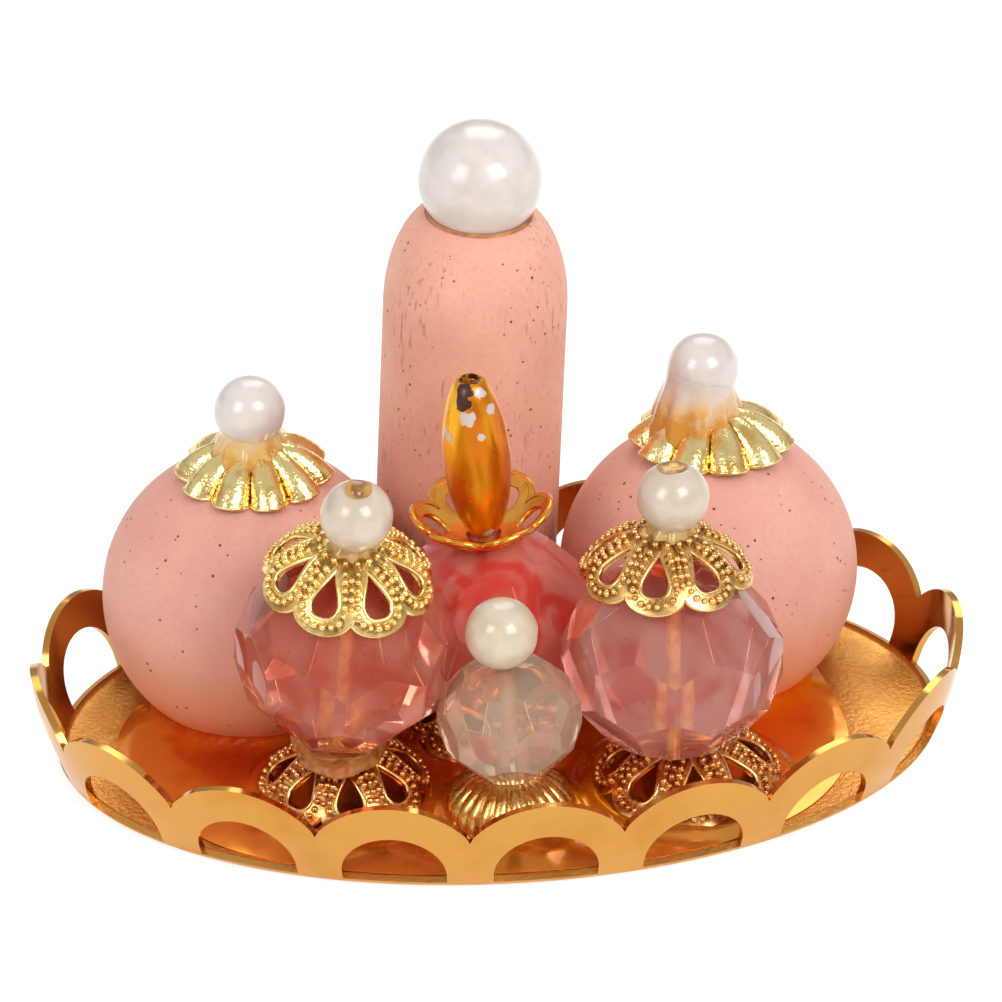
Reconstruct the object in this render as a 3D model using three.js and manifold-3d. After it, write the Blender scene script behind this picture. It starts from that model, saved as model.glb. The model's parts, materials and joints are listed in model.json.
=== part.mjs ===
// A 1:12 dressing-table tray: an oval stamped tray with an arched gallery that carries seven
// scent bottles made of beads, all glued in place.
// Units are millimetres. +Z is up, +X is the long way of the tray and -Y is its front.
// The origin is the middle of the tray's underside.

import * as THREE from 'three';
import Module from 'manifold-3d';
import { ConvexGeometry } from 'three/addons/geometries/ConvexGeometry.js';
import * as BufferGeometryUtils from 'three/addons/utils/BufferGeometryUtils.js';

const wasm = await Module();
wasm.setup();

const FULL_TURN = 2 * Math.PI;
const radians = THREE.MathUtils.degToRad;

// ---- driving dimensions ----

// Touching pieces keep this gap, which is the film of glue between them.
const GAP = 0.03;

// The tray is one piece of sheet. Its wall leans out, less and less towards the top, and is
// pierced by a ring of arches. Wall heights are measured along the sheet from the floor.
const TRAY = {
  halfLength: 12.7,
  halfWidth: 8.22,
  sheet: 0.21,
  arches: 16,
  firstArch: 0.111, // in arch widths, counter-clockwise from +X
  leanAtFloor: radians(22.8),
  leanAtTop: radians(5.2),
  archCentre: 0.35,
  openingRadius: 1.505,
  archRadius: 2.62,
};

const GLUE_THICKNESS = 0.1;
const GLUE_BOTTOM = TRAY.sheet + GAP;
const STAND = GLUE_BOTTOM + GLUE_THICKNESS + GAP; // the height that the bottles stand at

const PEARL_RADIUS = 1.01;
const PEARL_BORE = 0.27;
const WIDE_PEARL_BORE = 0.35;
const PIN_RADIUS = 0.2;

// A faceted bead is cut by rows of flats. Each row has the angle of its flats above the
// middle, and their distance from the bead's centre, for a bead of unit half width.
const FACETS_AROUND = 8;
const BEAD_TURN = radians(17); // beads that touch meet flat to flat
const FACET_ROWS = [
  { angle: 0, reach: 1, turned: false },
  { angle: 37, reach: 0.979, turned: true },
  { angle: 65, reach: 0.99, turned: false },
];
const BEAD_POLE = 0.972;

// Caps are measured from the plane of their rim. The filigree cap is a dome of petals, each
// with a drop-shaped opening.
const FILIGREE = { petals: 8, radius: 2.45, height: 1.5, hole: 0.55, sheet: 0.2 };
const WIDE_FILIGREE = { ...FILIGREE, radius: 2.7 };
const LOW_FILIGREE = { ...FILIGREE, height: 0.75 };
const SHELL = { flutes: 10, radius: 2.04, height: 1.15, hole: 0.5, sheet: 0.14, flute: 0.18 };
const WIDE_SHELL = { ...SHELL, radius: 2.16 };
const BUTTON = { flutes: 10, radius: 1.78, height: 1.3, hole: 0.42, sheet: 0.16, flute: 0.08 };
const FLOWER = { petals: 6, radius: 2.0, height: 0.72, hole: 0.5, sheet: 0.16 };
const CUP_TURN = radians(-5.6);

const BALL_BORE = 0.9;
const TALL = { radius: 2.64, height: 13.5, shoulder: 10.6, rim: 1.56, bore: 0.8, dish: 1 };
const TALL_LIP = 0.04;
const TALL_PEARL_RADIUS = 1.75;
const STOPPER = { halfLength: 2.52, radius: 0.96, end: 0.32 };

// Where each bottle stands and how far it leans, as glued by hand. The point is the middle
// of its ball or bead. Lean is in degrees, to the right (+X) and forward (-Y).
// A foot cap stands upright at its own place on the floor.
const LEFT_BALL = {
  at: [-6.79, 2.68, 3.5], right: 0.6, forward: 0, radius: 4.33, pearl: 6.07, pearlShift: 0,
  cap: 3.92, capShape: SHELL, capShift: 0.1,
};
const RIGHT_BALL = {
  at: [6.4, 2.84, 3.4], right: 2, forward: -4, radius: 4.3, pearl: 6.33, pearlShift: -0.33,
  cap: 3.92, capShape: WIDE_SHELL, capShift: -0.04,
};
const TALL_BOTTLE = { at: [-0.5, 5.5, STAND + 0.12], right: 2.7, forward: 0 };
const MIDDLE = { at: [-0.2, -0.3, 3.98], right: -3.9, forward: 0, size: 2.76 };
const FRONT_LEFT = {
  at: [-4.67, -4.04, 5.64], right: 4, forward: 8.5, size: 2.88, pearl: 4.78,
  foot: [-4.72, -3.17], footShape: FILIGREE, cap: 2.28, capShift: -0.1, capTurn: radians(19.4),
};
const FRONT_RIGHT = {
  at: [4.5, -4.2, 4.8], right: 0.8, forward: -4, size: 2.88, pearl: 5.0,
  foot: [4.98, -3.82], footShape: WIDE_FILIGREE, cap: 2.46, capShift: -0.2, capTurn: radians(29.4),
};
const FRONT_CENTRE = {
  at: [-0.26, -5.68, 4.08], right: -4.2, forward: 5, size: 1.87, pearl: 2.93,
  foot: [-0.15, -4.72],
};

const BEAD_BORE = 0.45;
const SMALL_BEAD_BORE = 0.34;

// ---- materials ----

function material(color, roughness, metalness) {
  return new THREE.MeshStandardMaterial({ color, roughness, metalness });
}

const GOLD = () => material(0xe2b05e, 0.25, 1);
const PALE_GOLD = () => material(0xd9c07a, 0.3, 1);
const ORANGE_GOLD = () => material(0xd98a1e, 0.3, 1);
const PAINTED_WOOD = () => material(0xe6a594, 0.75, 0);
const PEARL = () => material(0xf3ece2, 0.25, 0);
const PINK_GLASS = () => material(0xd98f92, 0.08, 0);
const CORAL_GLASS = () => material(0xd05a5a, 0.15, 0);
const CLEAR_GLASS = () => material(0xe8ddd0, 0.05, 0);
const AMBER_PEARL = () => material(0xd8861c, 0.25, 0.2);
const GLUE = () => material(0xc8741e, 0.15, 0);

// ---- making solids ----

// The same shape with its shared corners joined, holding positions only.
function welded(geometry) {
  const bare = geometry.clone();
  bare.deleteAttribute('normal');
  bare.deleteAttribute('uv');
  return BufferGeometryUtils.mergeVertices(bare, 1e-5);
}

function toManifold(geometry) {
  const solid = welded(geometry);
  return new wasm.Manifold(new wasm.Mesh({
    numProp: 3,
    vertProperties: new Float32Array(solid.attributes.position.array),
    triVerts: new Uint32Array(solid.index.array),
  }));
}

function fromManifold(solid) {
  const { vertProperties, triVerts } = solid.getMesh();
  const geometry = new THREE.BufferGeometry();
  geometry.setAttribute('position', new THREE.BufferAttribute(vertProperties, 3));
  geometry.setIndex(new THREE.BufferAttribute(triVerts, 1));
  return geometry;
}

// A turned shape. The profile holds [radius, height] pairs that run up the outside and back
// down the inside. A profile that doesn't touch the axis closes on itself.
function turned(profile, sides) {
  const points = profile.map(([radius, height]) => new THREE.Vector2(radius, height));
  const touchesAxis = profile[0][0] === 0;
  if (!touchesAxis) points.push(points[0].clone());
  return new THREE.LatheGeometry(points, sides).rotateX(Math.PI / 2);
}

// Points on an arc about [radius, height], from one angle to another, in degrees.
function arc([centreRadius, centreHeight], radius, from, to, steps) {
  return Array.from({ length: steps + 1 }, (_, step) => {
    const angle = radians(from + ((to - from) * step) / steps);
    return [centreRadius + radius * Math.cos(angle), centreHeight + radius * Math.sin(angle)];
  });
}

// A thin bent sheet is drawn patch by patch. front and back give its two faces at [u, v]. A
// patch's four corners run counter-clockwise seen from the front, and open says which of its
// sides are edges of the sheet.
function addPatch(points, front, back, corners, open) {
  const near = corners.map(([u, v]) => front(u, v));
  const far = corners.map(([u, v]) => back(u, v));
  const addFace = (a, b, c, d) => points.push(a, b, c, a, c, d);
  addFace(near[0], near[1], near[2], near[3]);
  addFace(far[3], far[2], far[1], far[0]);
  open.forEach((isOpen, side) => {
    const next = (side + 1) % 4;
    if (isOpen) addFace(near[next], near[side], far[side], far[next]);
  });
}

function fromTriangles(points) {
  return welded(new THREE.BufferGeometry().setFromPoints(points));
}

// ---- tray ----

function ellipseAt(angle) {
  const point = new THREE.Vector2(
    TRAY.halfLength * Math.cos(angle),
    TRAY.halfWidth * Math.sin(angle),
  );
  const outward = new THREE.Vector2(
    Math.cos(angle) / TRAY.halfLength,
    Math.sin(angle) / TRAY.halfWidth,
  ).normalize();
  return { point, outward };
}

const WALL_LENGTH = TRAY.archCentre + TRAY.archRadius;
const WALL_BEND = (TRAY.leanAtTop - TRAY.leanAtFloor) / WALL_LENGTH;

// How far the wall has moved out and up at a length along the sheet, and its lean there.
function wallAt(length) {
  const lean = TRAY.leanAtFloor + WALL_BEND * length;
  return {
    out: (Math.cos(TRAY.leanAtFloor) - Math.cos(lean)) / WALL_BEND,
    up: TRAY.sheet + (Math.sin(lean) - Math.sin(TRAY.leanAtFloor)) / WALL_BEND,
    lean,
  };
}

// The arches are evenly spaced round the middle height of the wall. This table has the
// distance round the wall at small steps of angle.
const RIM_STEPS = 1440;
const rimDistance = [0];
for (let step = 1; step <= RIM_STEPS; step += 1) {
  const middle = wallAt(WALL_LENGTH / 2).out;
  const [here, before] = [step, step - 1].map((index) => {
    const { point, outward } = ellipseAt((FULL_TURN * index) / RIM_STEPS);
    return point.addScaledVector(outward, middle);
  });
  rimDistance.push(rimDistance[step - 1] + here.distanceTo(before));
}
const ARCH_PITCH = rimDistance[RIM_STEPS] / TRAY.arches;

function angleAtDistance(distance) {
  const total = rimDistance[RIM_STEPS];
  const wanted = THREE.MathUtils.euclideanModulo(distance, total);
  const upper = rimDistance.findIndex((value) => value > wanted);
  const share = (wanted - rimDistance[upper - 1]) / (rimDistance[upper] - rimDistance[upper - 1]);
  return (FULL_TURN * (upper - 1 + share)) / RIM_STEPS;
}

// A point of the wall: a distance round it, a length up it, and a depth into the sheet.
function wallPoint(distance, length, depth) {
  const { point, outward } = ellipseAt(angleAtDistance(distance));
  const wall = wallAt(length);
  const out = wall.out - depth * Math.cos(wall.lean);
  const up = wall.up + depth * Math.sin(wall.lean);
  return new THREE.Vector3(point.x + outward.x * out, point.y + outward.y * out, up);
}

function makeTray() {
  const arcSteps = 3;
  const root = -0.1; // the wall is joined to the floor this far down
  const shoulder = Math.acos(ARCH_PITCH / 2 / TRAY.archRadius);
  const shoulderHeight = TRAY.archCentre + TRAY.archRadius * Math.sin(shoulder);

  // Half an arch, from the foot of its pillar to its crest: the outer line and the opening.
  const outer = [[ARCH_PITCH / 2, root], [ARCH_PITCH / 2, TRAY.archCentre]];
  const inner = [[TRAY.openingRadius, root], [TRAY.openingRadius, TRAY.archCentre]];
  outer.push([ARCH_PITCH / 2, shoulderHeight]);
  inner.push([
    TRAY.openingRadius * Math.cos(shoulder * 0.8),
    TRAY.archCentre + TRAY.openingRadius * Math.sin(shoulder * 0.8),
  ]);
  for (let step = 1; step <= arcSteps; step += 1) {
    const share = step / arcSteps;
    const outerAngle = THREE.MathUtils.lerp(shoulder, Math.PI / 2, share);
    const innerAngle = THREE.MathUtils.lerp(shoulder * 0.8, Math.PI / 2, share);
    outer.push([
      TRAY.archRadius * Math.cos(outerAngle),
      TRAY.archCentre + TRAY.archRadius * Math.sin(outerAngle),
    ]);
    inner.push([
      TRAY.openingRadius * Math.cos(innerAngle),
      TRAY.archCentre + TRAY.openingRadius * Math.sin(innerAngle),
    ]);
  }

  const points = [];
  const inset = 0.04; // keeps the wall's face clear of the floor's edge
  for (let arch = 0; arch < TRAY.arches; arch += 1) {
    const centre = ARCH_PITCH * (arch + TRAY.firstArch);
    for (const side of [1, -1]) {
      const front = (along, length) => wallPoint(centre + side * along, length, inset);
      const back = (along, length) => wallPoint(centre + side * along, length, inset + TRAY.sheet);
      for (let step = 0; step < outer.length - 1; step += 1) {
        const onRim = step >= 2;
        const corners = [inner[step], outer[step], outer[step + 1], inner[step + 1]];
        const open = [step === 0, onRim, false, true];
        if (side < 0) {
          corners.reverse();
          open.reverse();
          open.push(open.shift());
        }
        addPatch(points, front, back, corners, open);
      }
    }
  }
  const wall = toManifold(fromTriangles(points));

  const floorOutline = new THREE.Shape();
  floorOutline.absellipse(0, 0, TRAY.halfLength, TRAY.halfWidth, 0, FULL_TURN);
  const floor = toManifold(new THREE.ExtrudeGeometry(floorOutline, {
    depth: TRAY.sheet,
    bevelEnabled: false,
    curveSegments: 80,
  }));
  return fromManifold(floor.add(wall));
}

// The glue that ran together on the tray's floor, under and between the bottles.
function makeGluePool() {
  const edge = [
    [-10.9, 0.6], [-10.2, -3], [-8.2, -5.6], [-4.4, -7.25], [0, -7.75], [4.4, -7.3], [8, -5.6],
    [9.7, -2.9], [9.6, 1.2], [8.4, 4.2], [4.8, 6.4], [0, 7.5], [-5, 6.4], [-8.6, 4.2],
  ];
  const curve = new THREE.CatmullRomCurve3(edge.map(([x, y]) => new THREE.Vector3(x, y)), true);
  const outline = new THREE.Shape(curve.getPoints(42).slice(1).map(({ x, y }) => (
    new THREE.Vector2(x, y)
  )));
  return new THREE.ExtrudeGeometry(outline, { depth: GLUE_THICKNESS, bevelEnabled: false });
}

// ---- beads ----

// The solid that lies behind every one of a set of planes.
function insidePlanes(planes) {
  const corners = [];
  const isInside = (point) => planes.every(({ normal, reach }) => point.dot(normal) < reach + 1e-6);
  for (let a = 0; a < planes.length; a += 1) {
    for (let b = a + 1; b < planes.length; b += 1) {
      const line = planes[a].normal.clone().cross(planes[b].normal);
      for (let c = b + 1; c < planes.length; c += 1) {
        const spread = planes[c].normal.dot(line);
        if (Math.abs(spread) < 1e-6) continue;
        const corner = line.clone().multiplyScalar(planes[c].reach)
          .addScaledVector(planes[b].normal.clone().cross(planes[c].normal), planes[a].reach)
          .addScaledVector(planes[c].normal.clone().cross(planes[a].normal), planes[b].reach)
          .divideScalar(spread);
        const isNew = corners.every((other) => other.distanceTo(corner) > 1e-4);
        if (isNew && isInside(corner)) corners.push(corner);
      }
    }
  }
  return new ConvexGeometry(corners);
}

function makeFacetedBead(size, bore) {
  const planes = [1, -1].map((side) => ({
    normal: new THREE.Vector3(0, 0, side),
    reach: size * BEAD_POLE,
  }));
  for (const row of FACET_ROWS) {
    const sides = row.angle === 0 ? [1] : [1, -1];
    for (const side of sides) {
      for (let facet = 0; facet < FACETS_AROUND; facet += 1) {
        const turn = BEAD_TURN + (FULL_TURN * (facet + (row.turned ? 0.5 : 0))) / FACETS_AROUND;
        const rise = radians(row.angle) * side;
        planes.push({
          normal: new THREE.Vector3(
            Math.cos(rise) * Math.cos(turn),
            Math.cos(rise) * Math.sin(turn),
            Math.sin(rise),
          ),
          reach: size * row.reach,
        });
      }
    }
  }
  const drill = new THREE.CylinderGeometry(bore, bore, 3 * size, 12).rotateX(Math.PI / 2);
  return fromManifold(toManifold(insidePlanes(planes)).subtract(toManifold(drill)));
}

// A pearl drilled right through, with its middle at the origin.
function makeDrilledPearl(radius, bore) {
  const top = THREE.MathUtils.radToDeg(Math.acos(bore / radius));
  return turned(arc([0, 0], radius, -top, top, 7), 14);
}

// A pearl whose hole starts underneath and stops short of its top. Its middle is the origin.
function makeHalfDrilledPearl(radius, holeTop) {
  const base = THREE.MathUtils.radToDeg(Math.acos(PEARL_BORE / radius));
  const outside = arc([0, 0], radius, -base, 90, 8).slice(0, -1);
  return turned([[0, holeTop], [PEARL_BORE, holeTop], ...outside, [0, radius]], 14);
}

// A drilled wooden ball, sanded flat underneath so that it stands. Its middle is the origin.
function makeBall(radius, standsBelow) {
  const base = THREE.MathUtils.radToDeg(Math.asin(standsBelow / radius));
  const top = THREE.MathUtils.radToDeg(Math.acos(BALL_BORE / radius));
  const outside = arc([0, 0], radius, -base, top, 9);
  return turned([...outside, [BALL_BORE, -standsBelow]], 28);
}

// The tall bottle's wooden body: a cylinder with round shoulders and a dish in its top. Its
// base is at the origin.
function makeTallBody() {
  const rise = TALL.height - TALL.shoulder;
  const shoulder = Array.from({ length: 6 }, (_, step) => {
    const angle = radians(14 * step);
    return [
      TALL.radius - 1.28 * (1 - Math.cos(angle)) - 0.03 * step,
      TALL.shoulder + rise * Math.sin(angle),
    ];
  });
  return turned([
    [TALL.bore, 0],
    [TALL.radius - 0.15, 0],
    [TALL.radius, 0.15],
    ...shoulder,
    [TALL.rim, TALL.height],
    [TALL.rim - TALL_LIP, TALL.height],
    [TALL.bore, TALL.height - TALL.dish],
  ], 26);
}

// A long drilled bead like a grain of rice, with its middle at the origin.
function makeStopper() {
  const { halfLength, radius, end } = STOPPER;
  const outside = Array.from({ length: 9 }, (_, step) => {
    const height = THREE.MathUtils.lerp(-1, 1, step / 8);
    return [end + (radius - end) * Math.cos((height * Math.PI) / 2) ** 0.6, height * halfLength];
  });
  outside[0][0] = end;
  outside[8][0] = end;
  const bore = end - 0.08;
  return turned([...outside, [bore, halfLength], [bore, -halfLength]], 14);
}

// A wire along +Z between two heights.
function makePin(from, to) {
  return new THREE.CylinderGeometry(PIN_RADIUS, PIN_RADIUS, to - from, 8)
    .rotateX(Math.PI / 2)
    .translate(0, 0, (from + to) / 2);
}

// ---- caps ----

// The section of a round dome, from the edge of its hole (0) to its rim (1). Its inner edge
// is at height 0.
function domeSection({ radius, height, hole, sheet }) {
  const bend = (radius ** 2 + height ** 2) / (2 * height);
  const atRim = Math.asin(radius / bend);
  const atHole = Math.asin(hole / bend);
  const lift = sheet * Math.cos(atRim);
  return (share) => {
    const angle = THREE.MathUtils.lerp(atHole, atRim, share);
    return {
      radius: bend * Math.sin(angle),
      height: bend * (Math.cos(angle) - Math.cos(atRim)) + lift,
      out: Math.sin(angle),
      up: Math.cos(angle),
    };
  };
}

// The section of a cone, from the edge of its hole (0) to its rim (1).
function coneSection({ radius, height, hole }) {
  const slope = Math.atan2(height, radius - hole);
  return (share) => ({
    radius: THREE.MathUtils.lerp(hole, radius, share),
    height: height * (1 - share),
    out: Math.sin(slope),
    up: Math.cos(slope),
  });
}

// The section of a button, steep at its rim (1) and flat at its hole (0).
function buttonSection({ radius, height, hole }) {
  return (share) => {
    const angle = (Math.PI / 2) * (1 - share);
    return {
      radius: hole + (radius - hole) * Math.cos(angle),
      height: height * Math.sin(angle),
      out: Math.cos(angle),
      up: Math.sin(angle),
    };
  };
}

function onSection(section, turn, share, depth) {
  const { radius, height, out, up } = section(share);
  const reach = radius - depth * out;
  return new THREE.Vector3(reach * Math.cos(turn), reach * Math.sin(turn), height - depth * up);
}

// A cap of pierced petals. Each petal is a band between its outline and its opening, both
// given as [share of the half petal, share of the section], counter-clockwise from the hole.
function makePetalCap(cap, section, opening) {
  const outline = [
    [0, 0], [-1, 0], [-1, 0.78], [-0.74, 0.93], [-0.38, 0.99], [0, 1],
    [0.38, 0.99], [0.74, 0.93], [1, 0.78], [1, 0],
  ];
  const { from, to, halfWidth } = opening;
  const drop = [
    [0, 0], [-0.32, 0.2], [-0.8, 0.5], [-1, 0.74], [-0.68, 0.93], [0, 1],
    [0.68, 0.93], [1, 0.74], [0.8, 0.5], [0.32, 0.2],
  ].map(([across, along]) => [halfWidth * across, THREE.MathUtils.lerp(from, to, along)]);

  const points = [];
  const halfPetal = Math.PI / cap.petals;
  for (let petal = 0; petal < cap.petals; petal += 1) {
    const middle = 2 * halfPetal * petal;
    const front = (across, share) => onSection(section, middle + halfPetal * across, share, 0);
    const back = (across, share) => (
      onSection(section, middle + halfPetal * across, share, cap.sheet)
    );
    outline.forEach((corner, index) => {
      const next = (index + 1) % outline.length;
      const meetsNextPetal = index === 1 || index === outline.length - 2;
      const corners = [corner, outline[next], drop[next], drop[index]];
      addPatch(points, front, back, corners, [!meetsNextPetal, false, true, false]);
    });
  }
  return fromTriangles(points);
}

// A cap whose wall is pressed into round flutes that grow deeper towards the rim.
function makeFlutedCap(cap, section) {
  const stepsPerFlute = 3;
  const stepsDown = 3;
  const around = cap.flutes * stepsPerFlute;
  const bulge = (step, share) => (
    cap.flute * share * Math.abs(Math.sin((Math.PI * step) / stepsPerFlute))
  );
  const front = (step, share) => (
    onSection(section, (FULL_TURN * step) / around, share, -bulge(step, share))
  );
  const back = (step, share) => (
    onSection(section, (FULL_TURN * step) / around, share, cap.sheet - bulge(step, share))
  );
  const points = [];
  for (let step = 0; step < around; step += 1) {
    for (let down = 0; down < stepsDown; down += 1) {
      const high = down / stepsDown;
      const low = (down + 1) / stepsDown;
      const corners = [[step, low], [step + 1, low], [step + 1, high], [step, high]];
      addPatch(points, front, back, corners, [low === 1, false, high === 0, false]);
    }
  }
  return fromTriangles(points);
}

const DROP_OPENING = { from: 0.26, to: 0.79, halfWidth: 0.46 };
const ROUND_OPENING = { from: 0.42, to: 0.84, halfWidth: 0.42 };

const makeFiligree = (cap) => makePetalCap(cap, domeSection(cap), DROP_OPENING);
const makeShellCap = (cap) => makeFlutedCap(cap, domeSection(cap));
const makeButtonCap = () => makeFlutedCap(BUTTON, buttonSection(BUTTON));

// The flower cup is a petal cap turned over, with its hole at the origin and petals upward.
function makeFlowerCup() {
  return makePetalCap(FLOWER, coneSection(FLOWER), ROUND_OPENING)
    .rotateX(Math.PI)
    .translate(0, 0, FLOWER.height);
}

// ---- glue ----

// The ring of glue that holds a pearl on a shell cap. Heights are above the plane of the
// cap's rim.
function makePearlGlue(cap, pearlHeight) {
  const section = domeSection(cap);
  const clear = PEARL_RADIUS + GAP;
  const pearlUnderside = (radius) => pearlHeight - Math.sqrt(clear ** 2 - radius ** 2);
  const onCap = [0.12, 0.28, 0.46].map((share) => {
    const { radius, height, out, up } = section(share);
    const lift = 0.1 + cap.flute * share;
    return [radius + lift * out, height + lift * up];
  });
  const [innerRadius] = onCap[0];
  const [foot, footHeight] = onCap[2];
  const reach = 0.92;
  const cradle = [1, 0.6, 0.3, 0].map((share) => {
    const radius = THREE.MathUtils.lerp(innerRadius, reach, share);
    return [radius, pearlUnderside(radius)];
  });
  return turned([
    ...onCap,
    [foot - 0.03, footHeight + 0.15],
    [reach + 0.05, pearlUnderside(reach) + 0.02],
    ...cradle,
  ], 14);
}

// The ring of glue between the tall bottle's dish and its pearl. Heights are from its base.
function makeTallGlue(pearlHeight) {
  const clear = TALL_PEARL_RADIUS + GAP;
  const pearlAt = (height) => Math.sqrt(clear ** 2 - (pearlHeight - height) ** 2);
  const low = TALL.height - 0.22;
  const high = TALL.height + 0.08;
  const dishEdge = TALL.rim - TALL_LIP;
  const dishSlope = (dishEdge - TALL.bore) / TALL.dish;
  return turned([
    [dishEdge - dishSlope * (TALL.height - low) - GAP, low],
    [dishEdge - GAP, TALL.height],
    [pearlAt(high) + 0.02, high],
    [pearlAt(high), high],
    [pearlAt(low), low],
  ], 16);
}

// The collar of glue between a foot cap and the bead above it.
function makeCollar(from, to) {
  const middle = (from + to) / 2;
  return turned([
    [0.5, from], [1.25, from], [1.32, middle], [1.45, to], [0.5, to],
  ], 14);
}

// ---- assembly ----

const group = new THREE.Group();

function addMesh(parent, name, geometry, meshMaterial, height = 0, shift = 0) {
  const mesh = new THREE.Mesh(geometry, meshMaterial);
  mesh.name = name;
  mesh.position.set(shift, 0, height);
  parent.add(mesh);
}

function addBottle({ at, right, forward }) {
  const bottle = new THREE.Group();
  bottle.position.set(...at);
  bottle.rotation.set(radians(forward), radians(right), 0);
  group.add(bottle);
  return bottle;
}

function addFoot(name, [x, y], geometry, meshMaterial) {
  const foot = new THREE.Group();
  foot.position.set(x, y, STAND);
  group.add(foot);
  addMesh(foot, name, geometry, meshMaterial);
}

// A wooden ball with a shell cap and a pearl held on by glue. The ball itself stands upright.
function addBallBottle(name, place) {
  const { at, radius, cap, capShape, capShift, pearl, pearlShift } = place;
  const ball = addBottle({ at, right: 0, forward: 0 });
  addMesh(ball, `${name}_body`, makeBall(radius, at[2] - STAND), PAINTED_WOOD());
  const top = addBottle(place);
  addMesh(top, `${name}_cap`, makeShellCap(capShape), GOLD(), cap, capShift);
  addMesh(top, `${name}_pearl`, makeHalfDrilledPearl(PEARL_RADIUS, 0), PEARL(), pearl, pearlShift);
  addMesh(top, `${name}_pearl_glue`, makePearlGlue(capShape, pearl - cap), GLUE(), cap, pearlShift);
}

// A faceted bead between two filigree caps, with a pearl on a pin through them all.
function addBeadBottle(name, place) {
  const bottle = addBottle(place);
  addFoot(`${name}_foot_cap`, place.foot, makeFiligree(place.footShape), PALE_GOLD());
  addMesh(bottle, `${name}_bead`, makeFacetedBead(place.size, BEAD_BORE), PINK_GLASS());
  const topCap = makeFiligree(FILIGREE).rotateZ(place.capTurn);
  addMesh(bottle, `${name}_top_cap`, topCap, PALE_GOLD(), place.cap, place.capShift);
  const drilled = makeDrilledPearl(PEARL_RADIUS, WIDE_PEARL_BORE);
  addMesh(bottle, `${name}_pearl`, drilled, PEARL(), place.pearl);
  addMesh(bottle, `${name}_pin`, makePin(-place.size * BEAD_POLE, place.pearl + PEARL_RADIUS), GOLD());
  return bottle;
}

addMesh(group, 'tray', makeTray(), GOLD());
addMesh(group, 'glue_pool', makeGluePool(), GLUE(), GLUE_BOTTOM);

addBallBottle('left_ball', LEFT_BALL);
addBallBottle('right_ball', RIGHT_BALL);

const tall = addBottle(TALL_BOTTLE);
const tallPearlHeight = TALL.height - 0.69 + TALL_PEARL_RADIUS;
addMesh(tall, 'tall_bottle_body', makeTallBody(), PAINTED_WOOD());
addMesh(tall, 'tall_bottle_pearl', makeHalfDrilledPearl(TALL_PEARL_RADIUS, 0), PEARL(), tallPearlHeight);
addMesh(tall, 'tall_bottle_pearl_glue', makeTallGlue(tallPearlHeight), GLUE());

const middle = addBottle(MIDDLE);
const middleTop = MIDDLE.size * BEAD_POLE;
const cupBottom = middleTop + GAP + 0.02;
const stopperHeight = cupBottom + FLOWER.sheet + 0.02 + STOPPER.halfLength;
addFoot('middle_foot_cap', MIDDLE.at, makeFiligree(LOW_FILIGREE), PALE_GOLD());
addMesh(middle, 'middle_bead', makeFacetedBead(MIDDLE.size, BEAD_BORE), CORAL_GLASS());
addMesh(middle, 'middle_flower_cup', makeFlowerCup().rotateZ(CUP_TURN), ORANGE_GOLD(), cupBottom);
addMesh(middle, 'middle_stopper', makeStopper(), AMBER_PEARL(), stopperHeight);
addMesh(middle, 'middle_pin', makePin(-middleTop, cupBottom + 1.2), GOLD());

const frontLeft = addBeadBottle('front_left', FRONT_LEFT);
const collarTop = -FRONT_LEFT.size * BEAD_POLE - GAP;
addMesh(frontLeft, 'front_left_collar_glue', makeCollar(collarTop - 0.88, collarTop), GLUE());
addBeadBottle('front_right', FRONT_RIGHT);

const centre = addBottle(FRONT_CENTRE);
const centrePin = makePin(-FRONT_CENTRE.size * BEAD_POLE, FRONT_CENTRE.pearl + 0.6);
addFoot('front_centre_foot_cap', FRONT_CENTRE.foot, makeButtonCap(), GOLD());
addMesh(centre, 'front_centre_bead', makeFacetedBead(FRONT_CENTRE.size, SMALL_BEAD_BORE), CLEAR_GLASS());
addMesh(centre, 'front_centre_pearl', makeHalfDrilledPearl(PEARL_RADIUS, 0.63), PEARL(), FRONT_CENTRE.pearl);
addMesh(centre, 'front_centre_pin', centrePin, GOLD());

export default group;
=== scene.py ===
# A 1:12 dressing-table tray with seven scent bottles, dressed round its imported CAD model.
# Shapes are worked out in millimetres in the CAD frame and turned into metres when a mesh is
# made. Every shape stands where its CAD node stands.

import json
from math import acos, asin, atan2, copysign, cos, degrees, hypot, pi, radians, sin, sqrt, tan

import bmesh
import bpy
import numpy as np
from mathutils import Matrix, Vector


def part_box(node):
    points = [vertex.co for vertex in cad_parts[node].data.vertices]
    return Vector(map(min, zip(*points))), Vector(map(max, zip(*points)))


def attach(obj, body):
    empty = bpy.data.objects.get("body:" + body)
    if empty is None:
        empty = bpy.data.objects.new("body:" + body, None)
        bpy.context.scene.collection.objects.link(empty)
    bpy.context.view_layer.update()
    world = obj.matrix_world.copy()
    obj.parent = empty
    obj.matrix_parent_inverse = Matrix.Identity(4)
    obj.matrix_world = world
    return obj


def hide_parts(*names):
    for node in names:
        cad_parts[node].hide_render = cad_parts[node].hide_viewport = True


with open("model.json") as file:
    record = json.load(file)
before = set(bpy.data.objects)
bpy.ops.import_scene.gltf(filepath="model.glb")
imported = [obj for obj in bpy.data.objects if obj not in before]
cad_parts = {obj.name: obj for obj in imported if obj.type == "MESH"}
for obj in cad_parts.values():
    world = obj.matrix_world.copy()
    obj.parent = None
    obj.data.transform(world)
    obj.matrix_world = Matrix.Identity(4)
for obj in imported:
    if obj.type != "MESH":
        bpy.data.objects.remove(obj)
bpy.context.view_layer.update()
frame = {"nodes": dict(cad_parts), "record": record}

MM = 0.001
FULL_TURN = 2 * pi

# ---- camera ----

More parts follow.
